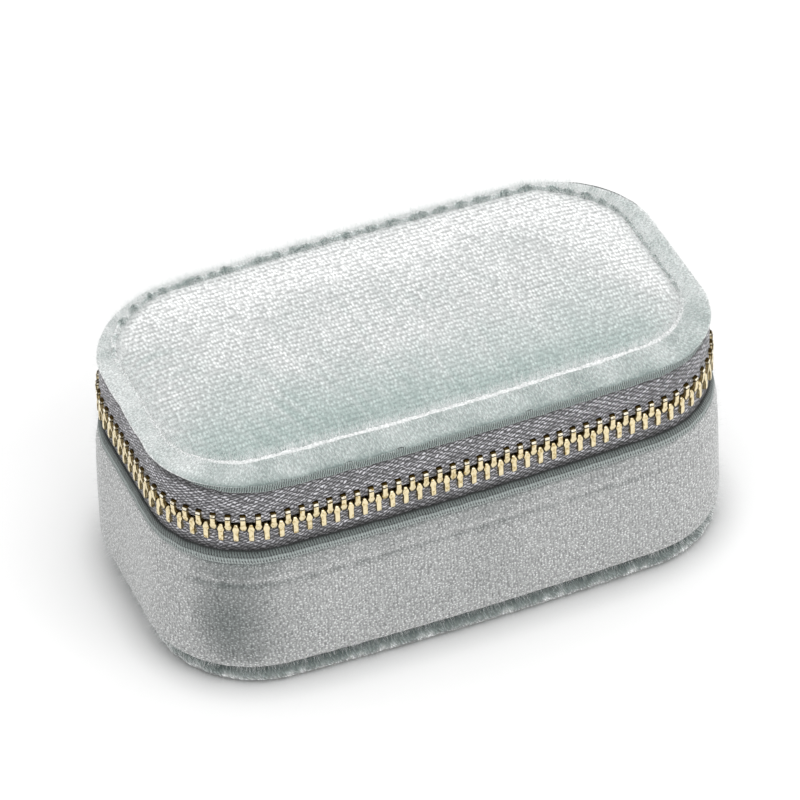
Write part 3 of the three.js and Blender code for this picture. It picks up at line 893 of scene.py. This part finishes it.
panel_z, panel_plan = crowned_heights(), panel_points
MAX_LIFT, MAX_DRIFT = 0.9, 0.35         # how far a point may move
blown = inflate_panel(panel_points, panel_z, panel_ring, PANEL_SIZE)
lift = np.clip(blown[:, 2] - panel_z, -MAX_LIFT, MAX_LIFT)
drift = np.clip(blown[:, :2] - panel_points, -MAX_DRIFT, MAX_DRIFT)
panel_z = panel_z + smooth_grid(lift, PANEL_SIZE, rounds=2)
panel_plan = panel_points + drift

# painted shade just inside the front edge, painted light along the back edge
panel_shading = (-0.06 * front_share(panel_angle) * bell(panel_inward, 3.0, 3.6)
              + 0.05 * clip01(np.sin(panel_angle)) * bell(panel_inward, 0, 9.0))
panel_bottom = np.minimum(panel_z - 0.8, 46.6 + 1.5 * swell(panel_inward, 2.0))
panel = slab("lid_panel_velvet", panel_plan, panel_z, panel_bottom, PANEL_SIZE, VELVET_TOP,
             panel_shading)
place(panel, "lid", "velvet_top", "lid_top_cover")

# ------------------------------------------------------------------ lid: foam under the panel
PAD_SIZE = (80, 42)        # grid of the foam and the flat linings


def pad_foam():
    points, inward, _, _ = panel_grid(
        lambda angle: np.maximum(seam(angle)[0] + 1.6, 5.2), PAD_SIZE)
    top = 46.9 + 1.15 * swell(inward, 1.6) - 0.35 * np.exp(-inward / 0.8)
    foam = slab("lid_pad_foam", points, top, 45.9, PAD_SIZE, FOAM)
    place(foam, "lid", "foam", "lid_foam_pad")


pad_foam()

# ------------------------------------------------------------------ lid: rim outside the seam
# Fractions of the way from shoulder to seam, and of the rise between them.
RIM_PROFILE = rounded([
    (0.26, -0.62), (0.09, -0.60), (0.0, -0.42), (0.0, 0.0), (0.06, 0.28), (0.20, 0.52),
    (0.42, 0.70), (0.66, 0.84), (0.88, 0.97), (1.0, 0.98), (1.05, 0.6), (1.04, 0.1),
    (0.75, 0.04), (0.30, -0.06), (0.27, -0.3)], gap=0.05)
RIM_LOW_Z = 46.5


def back_share(angle):
    return clip01(np.sin(angle) * 1.4 + 0.15)


def side_share(angle):
    """0 in the middle of the front, 1 at the sides and the back."""
    return 1 - front_share(angle) ** 3


def scallops(s):
    """Gathers of the seam, about 4.5 mm apart, a little uneven."""
    count = round(PERIMETER / 4.5)
    phase = 1.5 * wave(s, 5, 30, seed=77)
    return np.cos(2 * math.pi * count * s / PERIMETER + phase)


def rim_move(s, across, up):
    """Stretches the profile between shoulder and seam, with gathers at the seam."""
    angle = normal_angle(s)
    seam_inset, seam_z, shoulder = seam(angle)
    rise = seam_z + 0.15 - RIM_LOW_Z
    top = clip01(up)
    inner = clip01((across - 0.55) / 0.4)
    back = back_share(angle)
    lip = wave(s, 26, 60, seed=34) * 0.06 * clip01(1 - across * 3)
    inset = shoulder + (seam_inset - shoulder) * across
    inset = inset + lip - 0.10 * back * scallops(s) * inner
    z = RIM_LOW_Z + np.where(up > 0, up * rise, up * (0.3 + 0.9 * side_share(angle)))
    z = (z + (0.03 + 0.22 * back) * scallops(s) * inner * top
         + wave(s, 9, 22, seed=33) * 0.09 * top + lip * 0.6)
    return inset - across, z - up


def rim_shading(s, angle, inset, z):
    """Paler on the left as painted light, darker low down and between the gathers at the back as
    painted shade.
    """
    low = clip01((RIM_LOW_Z - z) / 0.5)
    left = clip01(-np.cos(angle) - 0.2)
    gathers = back_share(angle) * (0.5 + 0.5 * scallops(s))
    return 0.26 * left - 0.10 * low - 0.25 * gathers + 0.05 * wave(s, 8, 30, seed=35)


rim = sweep("lid_rim_velvet", RIM_PROFILE, VELVET_RIM, step=0.6, move=rim_move, tone=rim_shading)
place(rim, "lid", "velvet", "lid_rim_cover")

# ------------------------------------------------------------------ lid: ridge along the seam
CREST_PROFILE = [(-math.cos(t), math.sin(t))
                 for t in np.linspace(0, 2 * math.pi, 18, endpoint=False)]


def crest_move(s, across, up):
    """Puts the unit circle on the seam: thinner at the front, gathered at the back."""
    angle = normal_angle(s)
    seam_inset, seam_z, _ = seam(angle)
    back = back_share(angle)
    fine = wave(s, 150, 290, seed=41, count=14)
    radius = (0.34 + 0.18 * front_share(angle) + 0.46 * back
              + (0.04 + 0.07 * back) * scallops(s) + 0.06 * fine)
    inset = seam_inset + radius * across * 0.95 + 0.06 * wave(s, 40, 110, seed=43)
    z = (seam_z - 0.05 + radius * up + (0.03 + 0.07 * back) * scallops(s)
         + (0.05 + 0.08 * back) * wave(s, 30, 90, seed=44))
    return inset - across, z - up


def crest_shading(s, angle, inset, z):
    """Palest at the front as a painted highlight, darker on the right and in the gathers at the
    back as painted shade.
    """
    back = back_share(angle)
    front = front_share(angle)
    left = clip01(-np.cos(angle) - 0.3)
    right = clip01(np.cos(angle) - 0.3) * (1 - front) * (1 - 0.5 * back)
    gathers = back * clip01(0.62 + 0.6 * scallops(s) + 0.35 * wave(s, 20, 60, seed=46))
    return (0.62 * front ** 1.5 + 0.18 + 0.12 * left - 0.46 * right - 0.32 * gathers
            + 0.14 * wave(s, 60, 160, seed=45))


crest = sweep("lid_crest_velvet", CREST_PROFILE, VELVET_EDGE, step=0.45, move=crest_move,
              tone=crest_shading)
place(crest, "lid", "velvet_top", "lid_crest_welt")

# ------------------------------------------------------------------ lid: hem under the rim
LID_HEM_PROFILE = rounded([
    (1.35, 46.6), (0.96, 46.5), (0.76, 46.15), (0.80, 45.85), (0.92, 45.65), (0.78, 45.4),
    (0.86, 45.05), (1.15, 44.75), (1.5, 44.7), (1.8, 44.9), (1.95, 45.6), (1.95, 46.4),
    (1.7, 46.6)], gap=0.12)


def lid_hem_move(s, inset, z):
    """Follows the shoulder inward, more at the sides and back, up to a limit."""
    angle = normal_angle(s)
    shoulder = seam(angle)[2]
    side = side_share(angle)
    shift = 0.05 * wave(s, 30, 80, seed=51) + np.maximum(shoulder - 0.95, 0) * 0.8
    shift = shift + 1.25 * side ** 2
    moved = np.minimum(inset + shift, np.maximum(inset, 1.92))
    lift = 0.08 * wave(s, 24, 70, seed=52) + 0.35 * side * clip01((46.0 - z) / 1.0)
    return moved - inset, lift


place(sweep("lid_rim_hem", LID_HEM_PROFILE, HEM_LID, step=0.7, move=lid_hem_move),
      "lid", "velvet")

# ------------------------------------------------------------------ zip tape, both halves
LID_TAPE_PROFILE = rounded([
    (1.72, 45.7), (1.52, 43.5), (1.48, 41.5), (1.55, 39.6), (1.5, 39.0), (1.34, 38.5),
    (1.40, 37.7), (1.95, 37.4), (2.50, 37.7), (2.5, 38.6), (2.3, 39.1), (2.25, 41.5),
    (2.28, 45.7)], gap=0.4, rounds=1)
BASE_TAPE_PROFILE = rounded([
    (1.62, 27.5), (1.6, 30.5), (1.58, 33.4), (1.5, 34.7), (1.30, 35.2), (1.32, 35.7),
    (1.95, 35.9), (2.55, 35.7), (2.5, 35.2), (2.3, 34.7), (2.3, 30.5), (2.3, 27.5)],
    gap=0.4, rounds=1)
# the short band of lid tape left above the slider
BAND_PROFILE = rounded([(1.72, 45.7), (1.66, 43.6), (2.28, 43.6), (2.28, 45.7)], gap=0.3, rounds=1)


def lid_tape_move(s, inset, z):
    """The top leans inward at the sides and back, and rises there to meet the hem."""
    angle = normal_angle(s)
    side = clip01(np.sin(angle) * 2 + 0.5)
    shift = 0.05 * wave(s, 14, 40, seed=61) + 0.35 * side * clip01((z - 40) / 5)
    return shift, 0.50 * side_share(angle) * clip01((z - 44) / 1.5)


def base_tape_move(s, inset, z):
    return 0.05 * wave(s, 14, 40, seed=62), 0


lid_tape_parts = [sweep_data(profile, 0.7, start, end, lid_tape_move) for profile, start, end in (
    (LID_TAPE_PROFILE, ZIP_START, GAP_START), (BAND_PROFILE, GAP_START, GAP_END),
    (LID_TAPE_PROFILE, GAP_END, ZIP_END))]
place(join("lid_tape_weave", lid_tape_parts, TAPE_LID), "lid", "zip_tape", "lid_zip_tape")
place(sweep("base_tape_weave", BASE_TAPE_PROFILE, TAPE_BASE, 0.7, ZIP_START, ZIP_END,
            base_tape_move), "base", "zip_tape", "base_zip_tape")

# ------------------------------------------------------------------ teeth
# Sections of a tooth: distance from the zip's centre plane (negative reaches past it into
# the other row), half width along the zip, half depth.
TOOTH_HEAD = [
    (1.20, 0.53, 1.20), (0.78, 0.54, 1.12), (0.46, 0.72, 1.08), (0.26, 0.745, 1.06),
    (0.0, 0.635, 1.04), (-0.34, 0.48, 0.98), (-0.64, 0.34, 0.86), (-0.70, 0.20, 0.62)]
# the lid's legs end in a folded-over cap with a groove under it
LID_TOOTH = [
    (2.96, 0.46, 0.62), (2.90, 0.55, 0.90), (2.74, 0.56, 1.06), (2.70, 0.56, 1.10),
    (2.46, 0.56, 1.24), (2.34, 0.54, 1.26), (2.31, 0.50, 1.19), (2.08, 0.50, 1.19),
    (2.04, 0.53, 1.22)] + TOOTH_HEAD
BASE_TOOTH = [(2.84, 0.40, 0.85), (2.80, 0.50, 1.08), (2.66, 0.54, 1.20),
              (2.2, 0.54, 1.20)] + TOOTH_HEAD


def tooth_tint(along, out, height, half_depth, sign):
    """How much a point takes painted shade as flank or deep and a painted highlight as cap, as the
    stamped gold reads them.
    """
    flank = clip01((abs(along) - 0.62) / 0.3) - 0.45 * clip01((abs(along) - 0.92) / 0.05)
    flank = flank * (1.0 if out > 0 else 0.6)
    inner = 0.55 * clip01((0.25 - out * half_depth) / 0.5)
    if sign > 0:
        groove = 1.0 if 2.05 < height < 2.32 or height > 2.73 else 0.0
    else:
        groove = 0.9 if height > 2.79 else 0.0
    return float(flank), float(max(inner, groove)), 1.0 if sign > 0 and height > 2.33 else 0.0


def tooth_row(name, sections, offset, sign, seed, body, node):
    """One row of stamped teeth: a leg clamped on the tape and a wider head that meshes."""
    section = []
    for k in range(12):
        t = 2 * math.pi * (k + 0.5) / 12
        section.append((squared(math.cos(t), 0.3), squared(math.sin(t), 0.3)))
    first, last = ZIP_START + 4.2, GAP_START - 0.7
    steps = range(int((last - first) / TOOTH_PITCH) + 1)
    places = [first + offset + i * TOOTH_PITCH for i in steps]
    places = [s for s in places if s <= last]
    jitters = np.random.default_rng(seed).uniform(-1, 1, (len(places), 3))
    verts, faces, tint = [], [], []
    for (cx, cy, radius, angle), jitter in zip(outline(places), jitters):
        normal_x, normal_y = math.cos(angle), math.sin(angle)
        px = cx + (radius - TAPE_INSET) * normal_x
        py = cy + (radius - TAPE_INSET) * normal_y
        faces += tube_faces(len(sections), len(section), start=len(verts))
        for height, half_width, half_depth in sections:
            for along, out in section:
                u = half_width * along + 0.012 * jitter[0] + height * 0.010 * jitter[1]
                w = half_depth * out + 0.03 * jitter[2]
                verts.append((px + w * normal_x - u * normal_y, py + w * normal_y + u * normal_x,
                              ZIP_Z + sign * height))
                tint.append(tooth_tint(along, out, height, half_depth, sign))
    place(new_object(name, verts, faces, GOLD_TEETH, point=tint), body, "gold_metal", node)


tooth_row("base_teeth_stamped", BASE_TOOTH, offset=0.0, sign=-1, seed=8, body="base",
          node="base_zip_teeth")
tooth_row("lid_teeth_stamped", LID_TOOTH, offset=TOOTH_PITCH / 2, sign=1, seed=7, body="lid",
          node="lid_zip_teeth")


# ------------------------------------------------------------------ CAD pieces kept as they are
def recover(node, mat):
    """Gives a CAD piece a new material."""
    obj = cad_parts[node]
    obj.data.materials.clear()
    obj.data.materials.append(mat)
    return obj


def add_bevel(obj, width):
    """Softens hard edges; width is in metres."""
    bevel = obj.modifiers.new("edge", "BEVEL")
    set_all(bevel, width=width, segments=2, limit_method="ANGLE")
    return bevel


for node in ("slider_body", "slider_back_plate", "pull_link", "pull_tab", "base_top_stop",
             "lid_top_stop", "bottom_stop"):
    add_bevel(recover(node, GOLD), 0.00014).angle_limit = math.radians(35)
for node in ("base_wall_board", "base_bottom_board", "lid_board"):
    recover(node, BOARD)
recover("lid_foam_pad", FOAM)


# ------------------------------------------------------------------ fabric hinge across the back
def hinge_strip():
    """A strip along the middle of the back that bulges out at the zip's height."""
    half_length, step = 27.5, 0.8
    heights = np.concatenate([np.arange(28.4, 35.0, 0.6), np.arange(35.0, 38.3, 0.2),
                              np.arange(38.5, 45.6, 0.6)])
    outer = (0.42 + 0.22 * bell(heights, ZIP_Z, 1.6) - 0.12 * bell(heights, 32, 2.0)
             - 0.12 * bell(heights, 41, 2.0))
    inner = np.full(len(heights), 1.15)
    profile = np.vstack([np.c_[outer, heights], np.c_[inner, heights][::-1]])
    reach = TAPE_BOW * math.asin(half_length / TAPE_BOW)
    along = np.linspace(-reach, reach, int(2 * reach / step) + 1)
    angle = (QUARTER + along / TAPE_BOW)[:, None]
    ripple = 0.05 * np.sin(along * 0.9)[:, None] * np.sin(profile[None, :, 1] * 0.5)
    inset = np.repeat(profile[None, :, 0], len(along), 0) + ripple
    z = np.repeat(profile[None, :, 1], len(along), 0)
    x = (BOW_RADIUS - inset) * np.cos(angle)
    y = BOW_Y + (BOW_RADIUS - inset) * np.sin(angle)
    verts = np.stack([x, y, z], -1).reshape(-1, 3)
    wc = np.c_[verts[:, 2], verts[:, 0], np.zeros(len(verts))]
    return new_object("hinge_strip_velvet", verts, tube_faces(len(along), len(profile)),
                      VELVET_WALL, point=wc)


hinge = hinge_strip()
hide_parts("hinge_strip_lower", "hinge_strip_upper")
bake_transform(hinge)

# ------------------------------------------------------------------ linings
WALL_LINING_PROFILE = rounded([
    (5.25, 3.85), (5.3, 12), (5.28, 24), (5.2, 31.0), (4.9, 32.0), (4.2, 32.42), (3.2, 32.45),
    (2.55, 32.3), (2.42, 31.6), (2.42, 29.5), (2.52, 29.5), (2.55, 31.4), (2.8, 32.22),
    (4.05, 32.24), (4.15, 31.5), (4.2, 20), (4.2, 3.85)], gap=0.5, rounds=1)
LID_BAND_PROFILE = rounded([
    (5.15, 44.2), (5.2, 42.4), (5.1, 41.4), (4.7, 41.0), (4.25, 41.0), (3.95, 41.5), (3.9, 43.0),
    (3.4, 43.5), (2.5, 43.7), (2.45, 44.3), (3.4, 44.4), (4.6, 44.4)], gap=0.35)


def wall_lining_move(s, inset, z):
    return 0.04 * wave(s, 10, 30, seed=71) * clip01((inset - 4.6) * 2), 0


place(sweep("base_wall_suede", WALL_LINING_PROFILE, LINING, step=1.0, move=wall_lining_move),
      "base", "lining", "base_wall_lining")

points, inward, _, _ = panel_grid(5.1, PAD_SIZE)
floor_top = 3.95 + 0.35 * swell(inward, 2.0)
place(slab("base_floor_suede", points, floor_top, 3.05, PAD_SIZE, LINING),
      "base", "lining", "base_floor_lining")

points, inward, _, _ = panel_grid(2.6, PAD_SIZE)
underside = 0.02 + 0.75 * np.exp(-inward / 0.8)
place(slab("base_bottom_velvet", points, 1.05, underside, PAD_SIZE, VELVET_WALL),
      "base", "velvet", "base_bottom_cover")

points, inward, _, _ = panel_grid(5.35, PAD_SIZE)
ceiling = 43.9 - 0.6 * swell(inward, 2.6)
place(slab("lid_lining_suede", points, 44.25, ceiling, PAD_SIZE, LINING),
      "lid", "lining", "lid_lining_panel")

place(sweep("lid_band_suede", LID_BAND_PROFILE, LINING, step=1.0),
      "lid", "lining", "lid_lining_band")


# ------------------------------------------------------------------ mirror
def mirror_surround():
    """A soft roll swept round a rounded rectangle."""
    half_x, half_y, corner, corner_steps = 36.8, 17.8, 6.8, 8
    roll_z, roll_out, roll_up = 42.35, 1.2, 0.72
    roll = [(roll_out * math.cos(t), roll_z + roll_up * math.sin(t))
            for t in np.linspace(0, 2 * math.pi, 16, endpoint=False)]
    verts = []
    for quarter, (sx, sy) in enumerate(((1, 1), (-1, 1), (-1, -1), (1, -1))):
        for i in range(corner_steps + 1):
            angle = quarter * QUARTER + QUARTER * i / corner_steps
            x = sx * (half_x - corner) + corner * math.cos(angle)
            y = sy * (half_y - corner) + corner * math.sin(angle)
            verts += [(x + out * math.cos(angle), y + out * math.sin(angle), z)
                      for out, z in roll]
    faces = tube_faces(4 * (corner_steps + 1), len(roll), closed=True)
    return new_object("mirror_surround_suede", verts, faces, LINING)


place(mirror_surround(), "lid", "lining", "mirror_surround")
add_bevel(recover("mirror_glass", MIRROR), 0.0003)


# ------------------------------------------------------------------ ring rolls and their bed
def ring_roll(index):
    """A creased roll along y with rounded, pinched ends, kept inside the rounded wall."""
    node = f"ring_roll_{index}"
    low, high = box_mm(node)
    cx = (low[0] + high[0]) / 2 if index < 4 else high[0] - 5.4
    cz = (low[2] + high[2]) / 2
    radius, end_length, wall_inset = 5.32, 2.6, 5.75
    half = (high[1] - low[1]) / 2 - 0.1
    rings, count = 72, 40
    phase = np.random.default_rng(100 + index).uniform(0, 6.28, 6)
    verts, wc = [], []
    for y in -half * np.cos(np.linspace(0, math.pi, rings)):
        end = max(0.0, (abs(y) - (half - end_length)) / end_length)
        ring_radius = radius * max(0.0, 1 - end ** 2.2) ** (1 / 2.2) if end < 1 else 0.0
        ring_radius = max(ring_radius, 0.02)
        for k in range(count):
            t = 2 * math.pi * k / count
            crease = (0.10 * math.sin(y * 0.55 + phase[0] + 2 * math.sin(t + phase[1]))
                      + 0.07 * math.sin(y * 1.3 + phase[2] + 3 * t))
            pinch = 0.22 * end * math.sin(9 * t + phase[3])
            reach = ring_radius * (1 + pinch * 0.12) - 0.12
            if ring_radius > 1:
                reach += crease * (1 - end)
            x = cx + max(-radius, min(radius, reach * math.cos(t)))
            verts.append((x, y, cz + reach * math.sin(t)))
            wc.append((y, t * radius, 0))
    v = np.array(verts)
    past_corner = np.abs(v[:, 0]) - CORNER_X
    limit = CORNER_Y + np.sqrt(
        np.clip((CORNER_RADIUS - wall_inset) ** 2 - past_corner ** 2, 0, None))
    v[:, 1] = np.where(past_corner > 0, np.clip(v[:, 1], -limit, limit), v[:, 1])
    v[:, 0] = np.maximum(v[:, 0], -(HALF_LENGTH - wall_inset))
    roll = new_object(f"{node}_velvet", v, tube_faces(rings, count), VELVET_ROLL, point=wc)
    place(roll, "base", "lining", node)


VELVET_ROLL = velvet(
    "velvet_roll", greys((0.0, 170, 6), (0.3, 196, 5), (0.7, 220, 3), (1.0, 238, 1)),
    row=0.6, tuft=0.5, rows=0.05, patch=0.3, spark=0.3, rand=0.8)
for index in (1, 2, 3, 4):
    ring_roll(index)
recover("ring_roll_bed", FOAM)


# ------------------------------------------------------------------ dividers
def padded_wall(name, node, axis):
    """A covered board along x (axis 0) or y (axis 1): soft edges and a piped top."""
    low, high = box_mm(node)
    thin = 1 - axis
    length, height = high[axis] - low[axis], high[2] - low[2]
    half, middle = (high[thin] - low[thin]) / 2, (high[thin] + low[thin]) / 2
    rings, count = 48, 40
    section = []
    for k in range(count):
        a = 2 * math.pi * k / count
        section.append((squared(math.cos(a), 0.35), squared(math.sin(a), 0.18)))
    verts, wc = [], []
    for t in np.linspace(0, 1, rings):
        from_end = min(t, 1 - t) * length
        narrowing = 1 - max(0.0, 1 - from_end / 0.7) ** 2 * 0.5
        for across, up in section:
            z = low[2] + height * (0.5 + 0.5 * up)
            pipe = 0.12 * bell(z, high[2] - 0.9, 0.5) - 0.10 * bell(z, high[2] - 2.1, 0.35)
            point = [0, 0, z + (0.06 * math.sin(t * length * 0.7) if up > 0.9 else 0)]
            point[axis] = low[axis] + length * t
            point[thin] = middle + across * (half - 0.12 + pipe) * narrowing
            verts.append(point)
            wc.append((point[axis], z, 0))
    board = new_object(name, verts, tube_faces(rings, count), LINING, point=wc)
    place(board, "base", "lining", node)


padded_wall("center_divider_suede", "center_divider", axis=1)
padded_wall("compartment_divider_suede", "compartment_divider", axis=0)


# ------------------------------------------------------------------ loose pile along the seams
def pile_material():
    net = NodeNet("velvet_pile")
    chance, along = net.outputs("HairInfo", ("Random", "Intercept"))
    # the fibres are near white and paler toward their tips: a painted sheen
    colour = net.ramp(chance, greys((0.0, 180, 7), (0.3, 226, 3), (0.6, 254, 0)))
    tip = net.mix(along * 0.6, colour, (0.95, 0.96, 0.955))
    return net.surface(Base_Color=tip, Roughness=0.6, Sheen_Weight=0.3)


PILE = pile_material()


def fuzz(obj, weight, count, length, seed, thick, rough, lean=(0, 0, 0)):
    """Short loose fibres; weight takes points in mm and says how densely they grow there.

    rough and lean are fractions of the length: random spread and a pull along x, y, z.
    """
    mesh = obj.data
    mesh.materials.append(PILE)
    co = np.zeros(len(mesh.vertices) * 3)
    mesh.vertices.foreach_get("co", co)
    weights = weight(co.reshape(-1, 3) / MM)
    group = obj.vertex_groups.new(name="pile")
    for i in np.where(weights > 0.01)[0]:
        group.add([int(i)], float(weights[i]), "REPLACE")
    system = obj.modifiers.new("pile", "PARTICLE_SYSTEM").particle_system
    system.vertex_group_density = "pile"
    system.seed = seed
    set_all(system.settings, type="HAIR", count=count, hair_length=length * MM, hair_step=3,
            display_step=2, render_step=2, use_advanced_hair=True, normal_factor=length * MM,
            factor_random=length * MM * rough,
            object_align_factor=tuple(length * MM * c for c in lean), length_random=0.5,
            root_radius=1.0, tip_radius=0.3, radius_scale=thick * MM,
            material=len(mesh.materials))


def crest_pile(co):
    return clip01((co[:, 2] - 46.6) / 0.9)


def rim_pile(co):
    """Denser toward the back."""
    toward_back = clip01(1 + co[:, 1] / 28.0 + 0.2)
    return clip01((co[:, 2] - 46.3) / 0.8) * (0.25 + 0.75 * toward_back) + 0.12 * (co[:, 2] > 46.1)


def welt_pile(co):
    return clip01((2.2 - co[:, 2]) / 1.5)


def wall_pile(co):
    """Along the top and bottom edges."""
    return bell(co[:, 2], 28.5, 0.5) + bell(co[:, 2], 4.8, 0.5) * 0.9 + 0.03


def panel_pile(co):
    """Along the edge of the top face; none underneath."""
    top = clip01(bell(panel_inward, 0, 2.2) + 0.05)
    return np.concatenate([top, np.zeros(len(panel_inward))])


fuzz(crest, crest_pile, count=17000, length=0.48, seed=11, thick=0.028, rough=0.55)
fuzz(rim, rim_pile, count=9500, length=0.50, seed=12, thick=0.030, rough=0.6)
fuzz(welt, welt_pile, count=5000, length=0.38, seed=13, thick=0.018, rough=0.4, lean=(0, 0, -0.3))
fuzz(wall, wall_pile, count=14000, length=0.42, seed=14, thick=0.018, rough=0.4)
fuzz(panel, panel_pile, count=14000, length=0.40, seed=15, thick=0.018, rough=0.45)


# ------------------------------------------------------------------ stage, light, camera: metres
def floor():
    """A pale floor with a painted contact shadow: darkened a little close to the case."""
    mesh = bpy.data.meshes.new("floor")
    mesh.from_pydata([(-6, -6, 0), (6, -6, 0), (6, 6, 0), (-6, 6, 0)], [], [(0, 1, 2, 3)])
    obj = bpy.data.objects.new("floor", mesh)
    bpy.context.scene.collection.objects.link(obj)
    net = NodeNet("pale_floor")
    mottle = net.noise(net.object_coords(), scale=3.0)
    # painted contact shadow: ambient occlusion darkens the floor near the case
    openness = net.output("AmbientOcclusion", "AO", {"Distance": 0.009}, samples=8)
    shade = net.map_range(openness, (0.2, 0.9), (0.62, 1.0))
    base = net.mix(mottle, (0.93, 0.93, 0.93), (0.95, 0.95, 0.948))
    mesh.materials.append(net.surface(Base_Color=net.times(base, shade), Roughness=0.9,
                                      Specular_IOR_Level=0.0))


def world_light():
    world = bpy.data.worlds.new("studio")
    bpy.context.scene.world = world
    world.use_nodes = True
    background = world.node_tree.nodes["Background"]
    background.inputs["Color"].default_value = (1.0, 1.0, 1.0, 1)
    background.inputs["Strength"].default_value = 0.92


def area(name, location, size, power):
    """A rectangular light aimed at the middle of the case."""
    target = (0, 0, 0.03)
    light = bpy.data.lights.new(name, "AREA")
    set_all(light, shape="RECTANGLE", size=size[0], size_y=size[1], energy=power)
    obj = bpy.data.objects.new(name, light)
    obj.location = location
    obj.rotation_mode = "QUATERNION"
    aim = Vector(target) - Vector(location)
    obj.rotation_quaternion = aim.to_track_quat("-Z", "Y")
    bpy.context.scene.collection.objects.link(obj)


def camera():
    """Looks down from the front left, aimed near the middle of the zip's plane."""
    azimuth, elevation, roll = (math.radians(a) for a in (-21.067, 39.993, 2.313))
    distance, shift_right, shift_up = 1050.0, -1.171, -5.326        # mm
    back = Vector((math.sin(azimuth) * math.cos(elevation),
                   -math.cos(azimuth) * math.cos(elevation), math.sin(elevation)))
    right = Vector((math.cos(azimuth), math.sin(azimuth), 0))
    up = back.cross(right)
    data = bpy.data.cameras.new("camera")
    obj = bpy.data.objects.new("camera", data)
    bpy.context.scene.collection.objects.link(obj)
    set_all(data, sensor_width=36.0, lens=260.055, clip_start=0.01, clip_end=50)
    rolled_right = right * math.cos(roll) - up * math.sin(roll)
    rolled_up = up * math.cos(roll) + right * math.sin(roll)
    rotation = Matrix((rolled_right, rolled_up, back)).transposed()
    offset = (right * shift_right + up * shift_up + back * distance) * MM
    position = offset + Vector((0, 0, ZIP_Z * MM))
    obj.matrix_world = Matrix.Translation(position) @ rotation.to_4x4()
    bpy.context.scene.camera = obj


floor()
world_light()
area("key", location=(0.05, -0.05, 1.1), size=(0.8, 0.8), power=2.6)
area("fill", location=(0.25, -0.72, 0.80), size=(0.8, 0.6), power=2.4)
camera()
bpy.context.scene.view_settings.view_transform = "Standard"
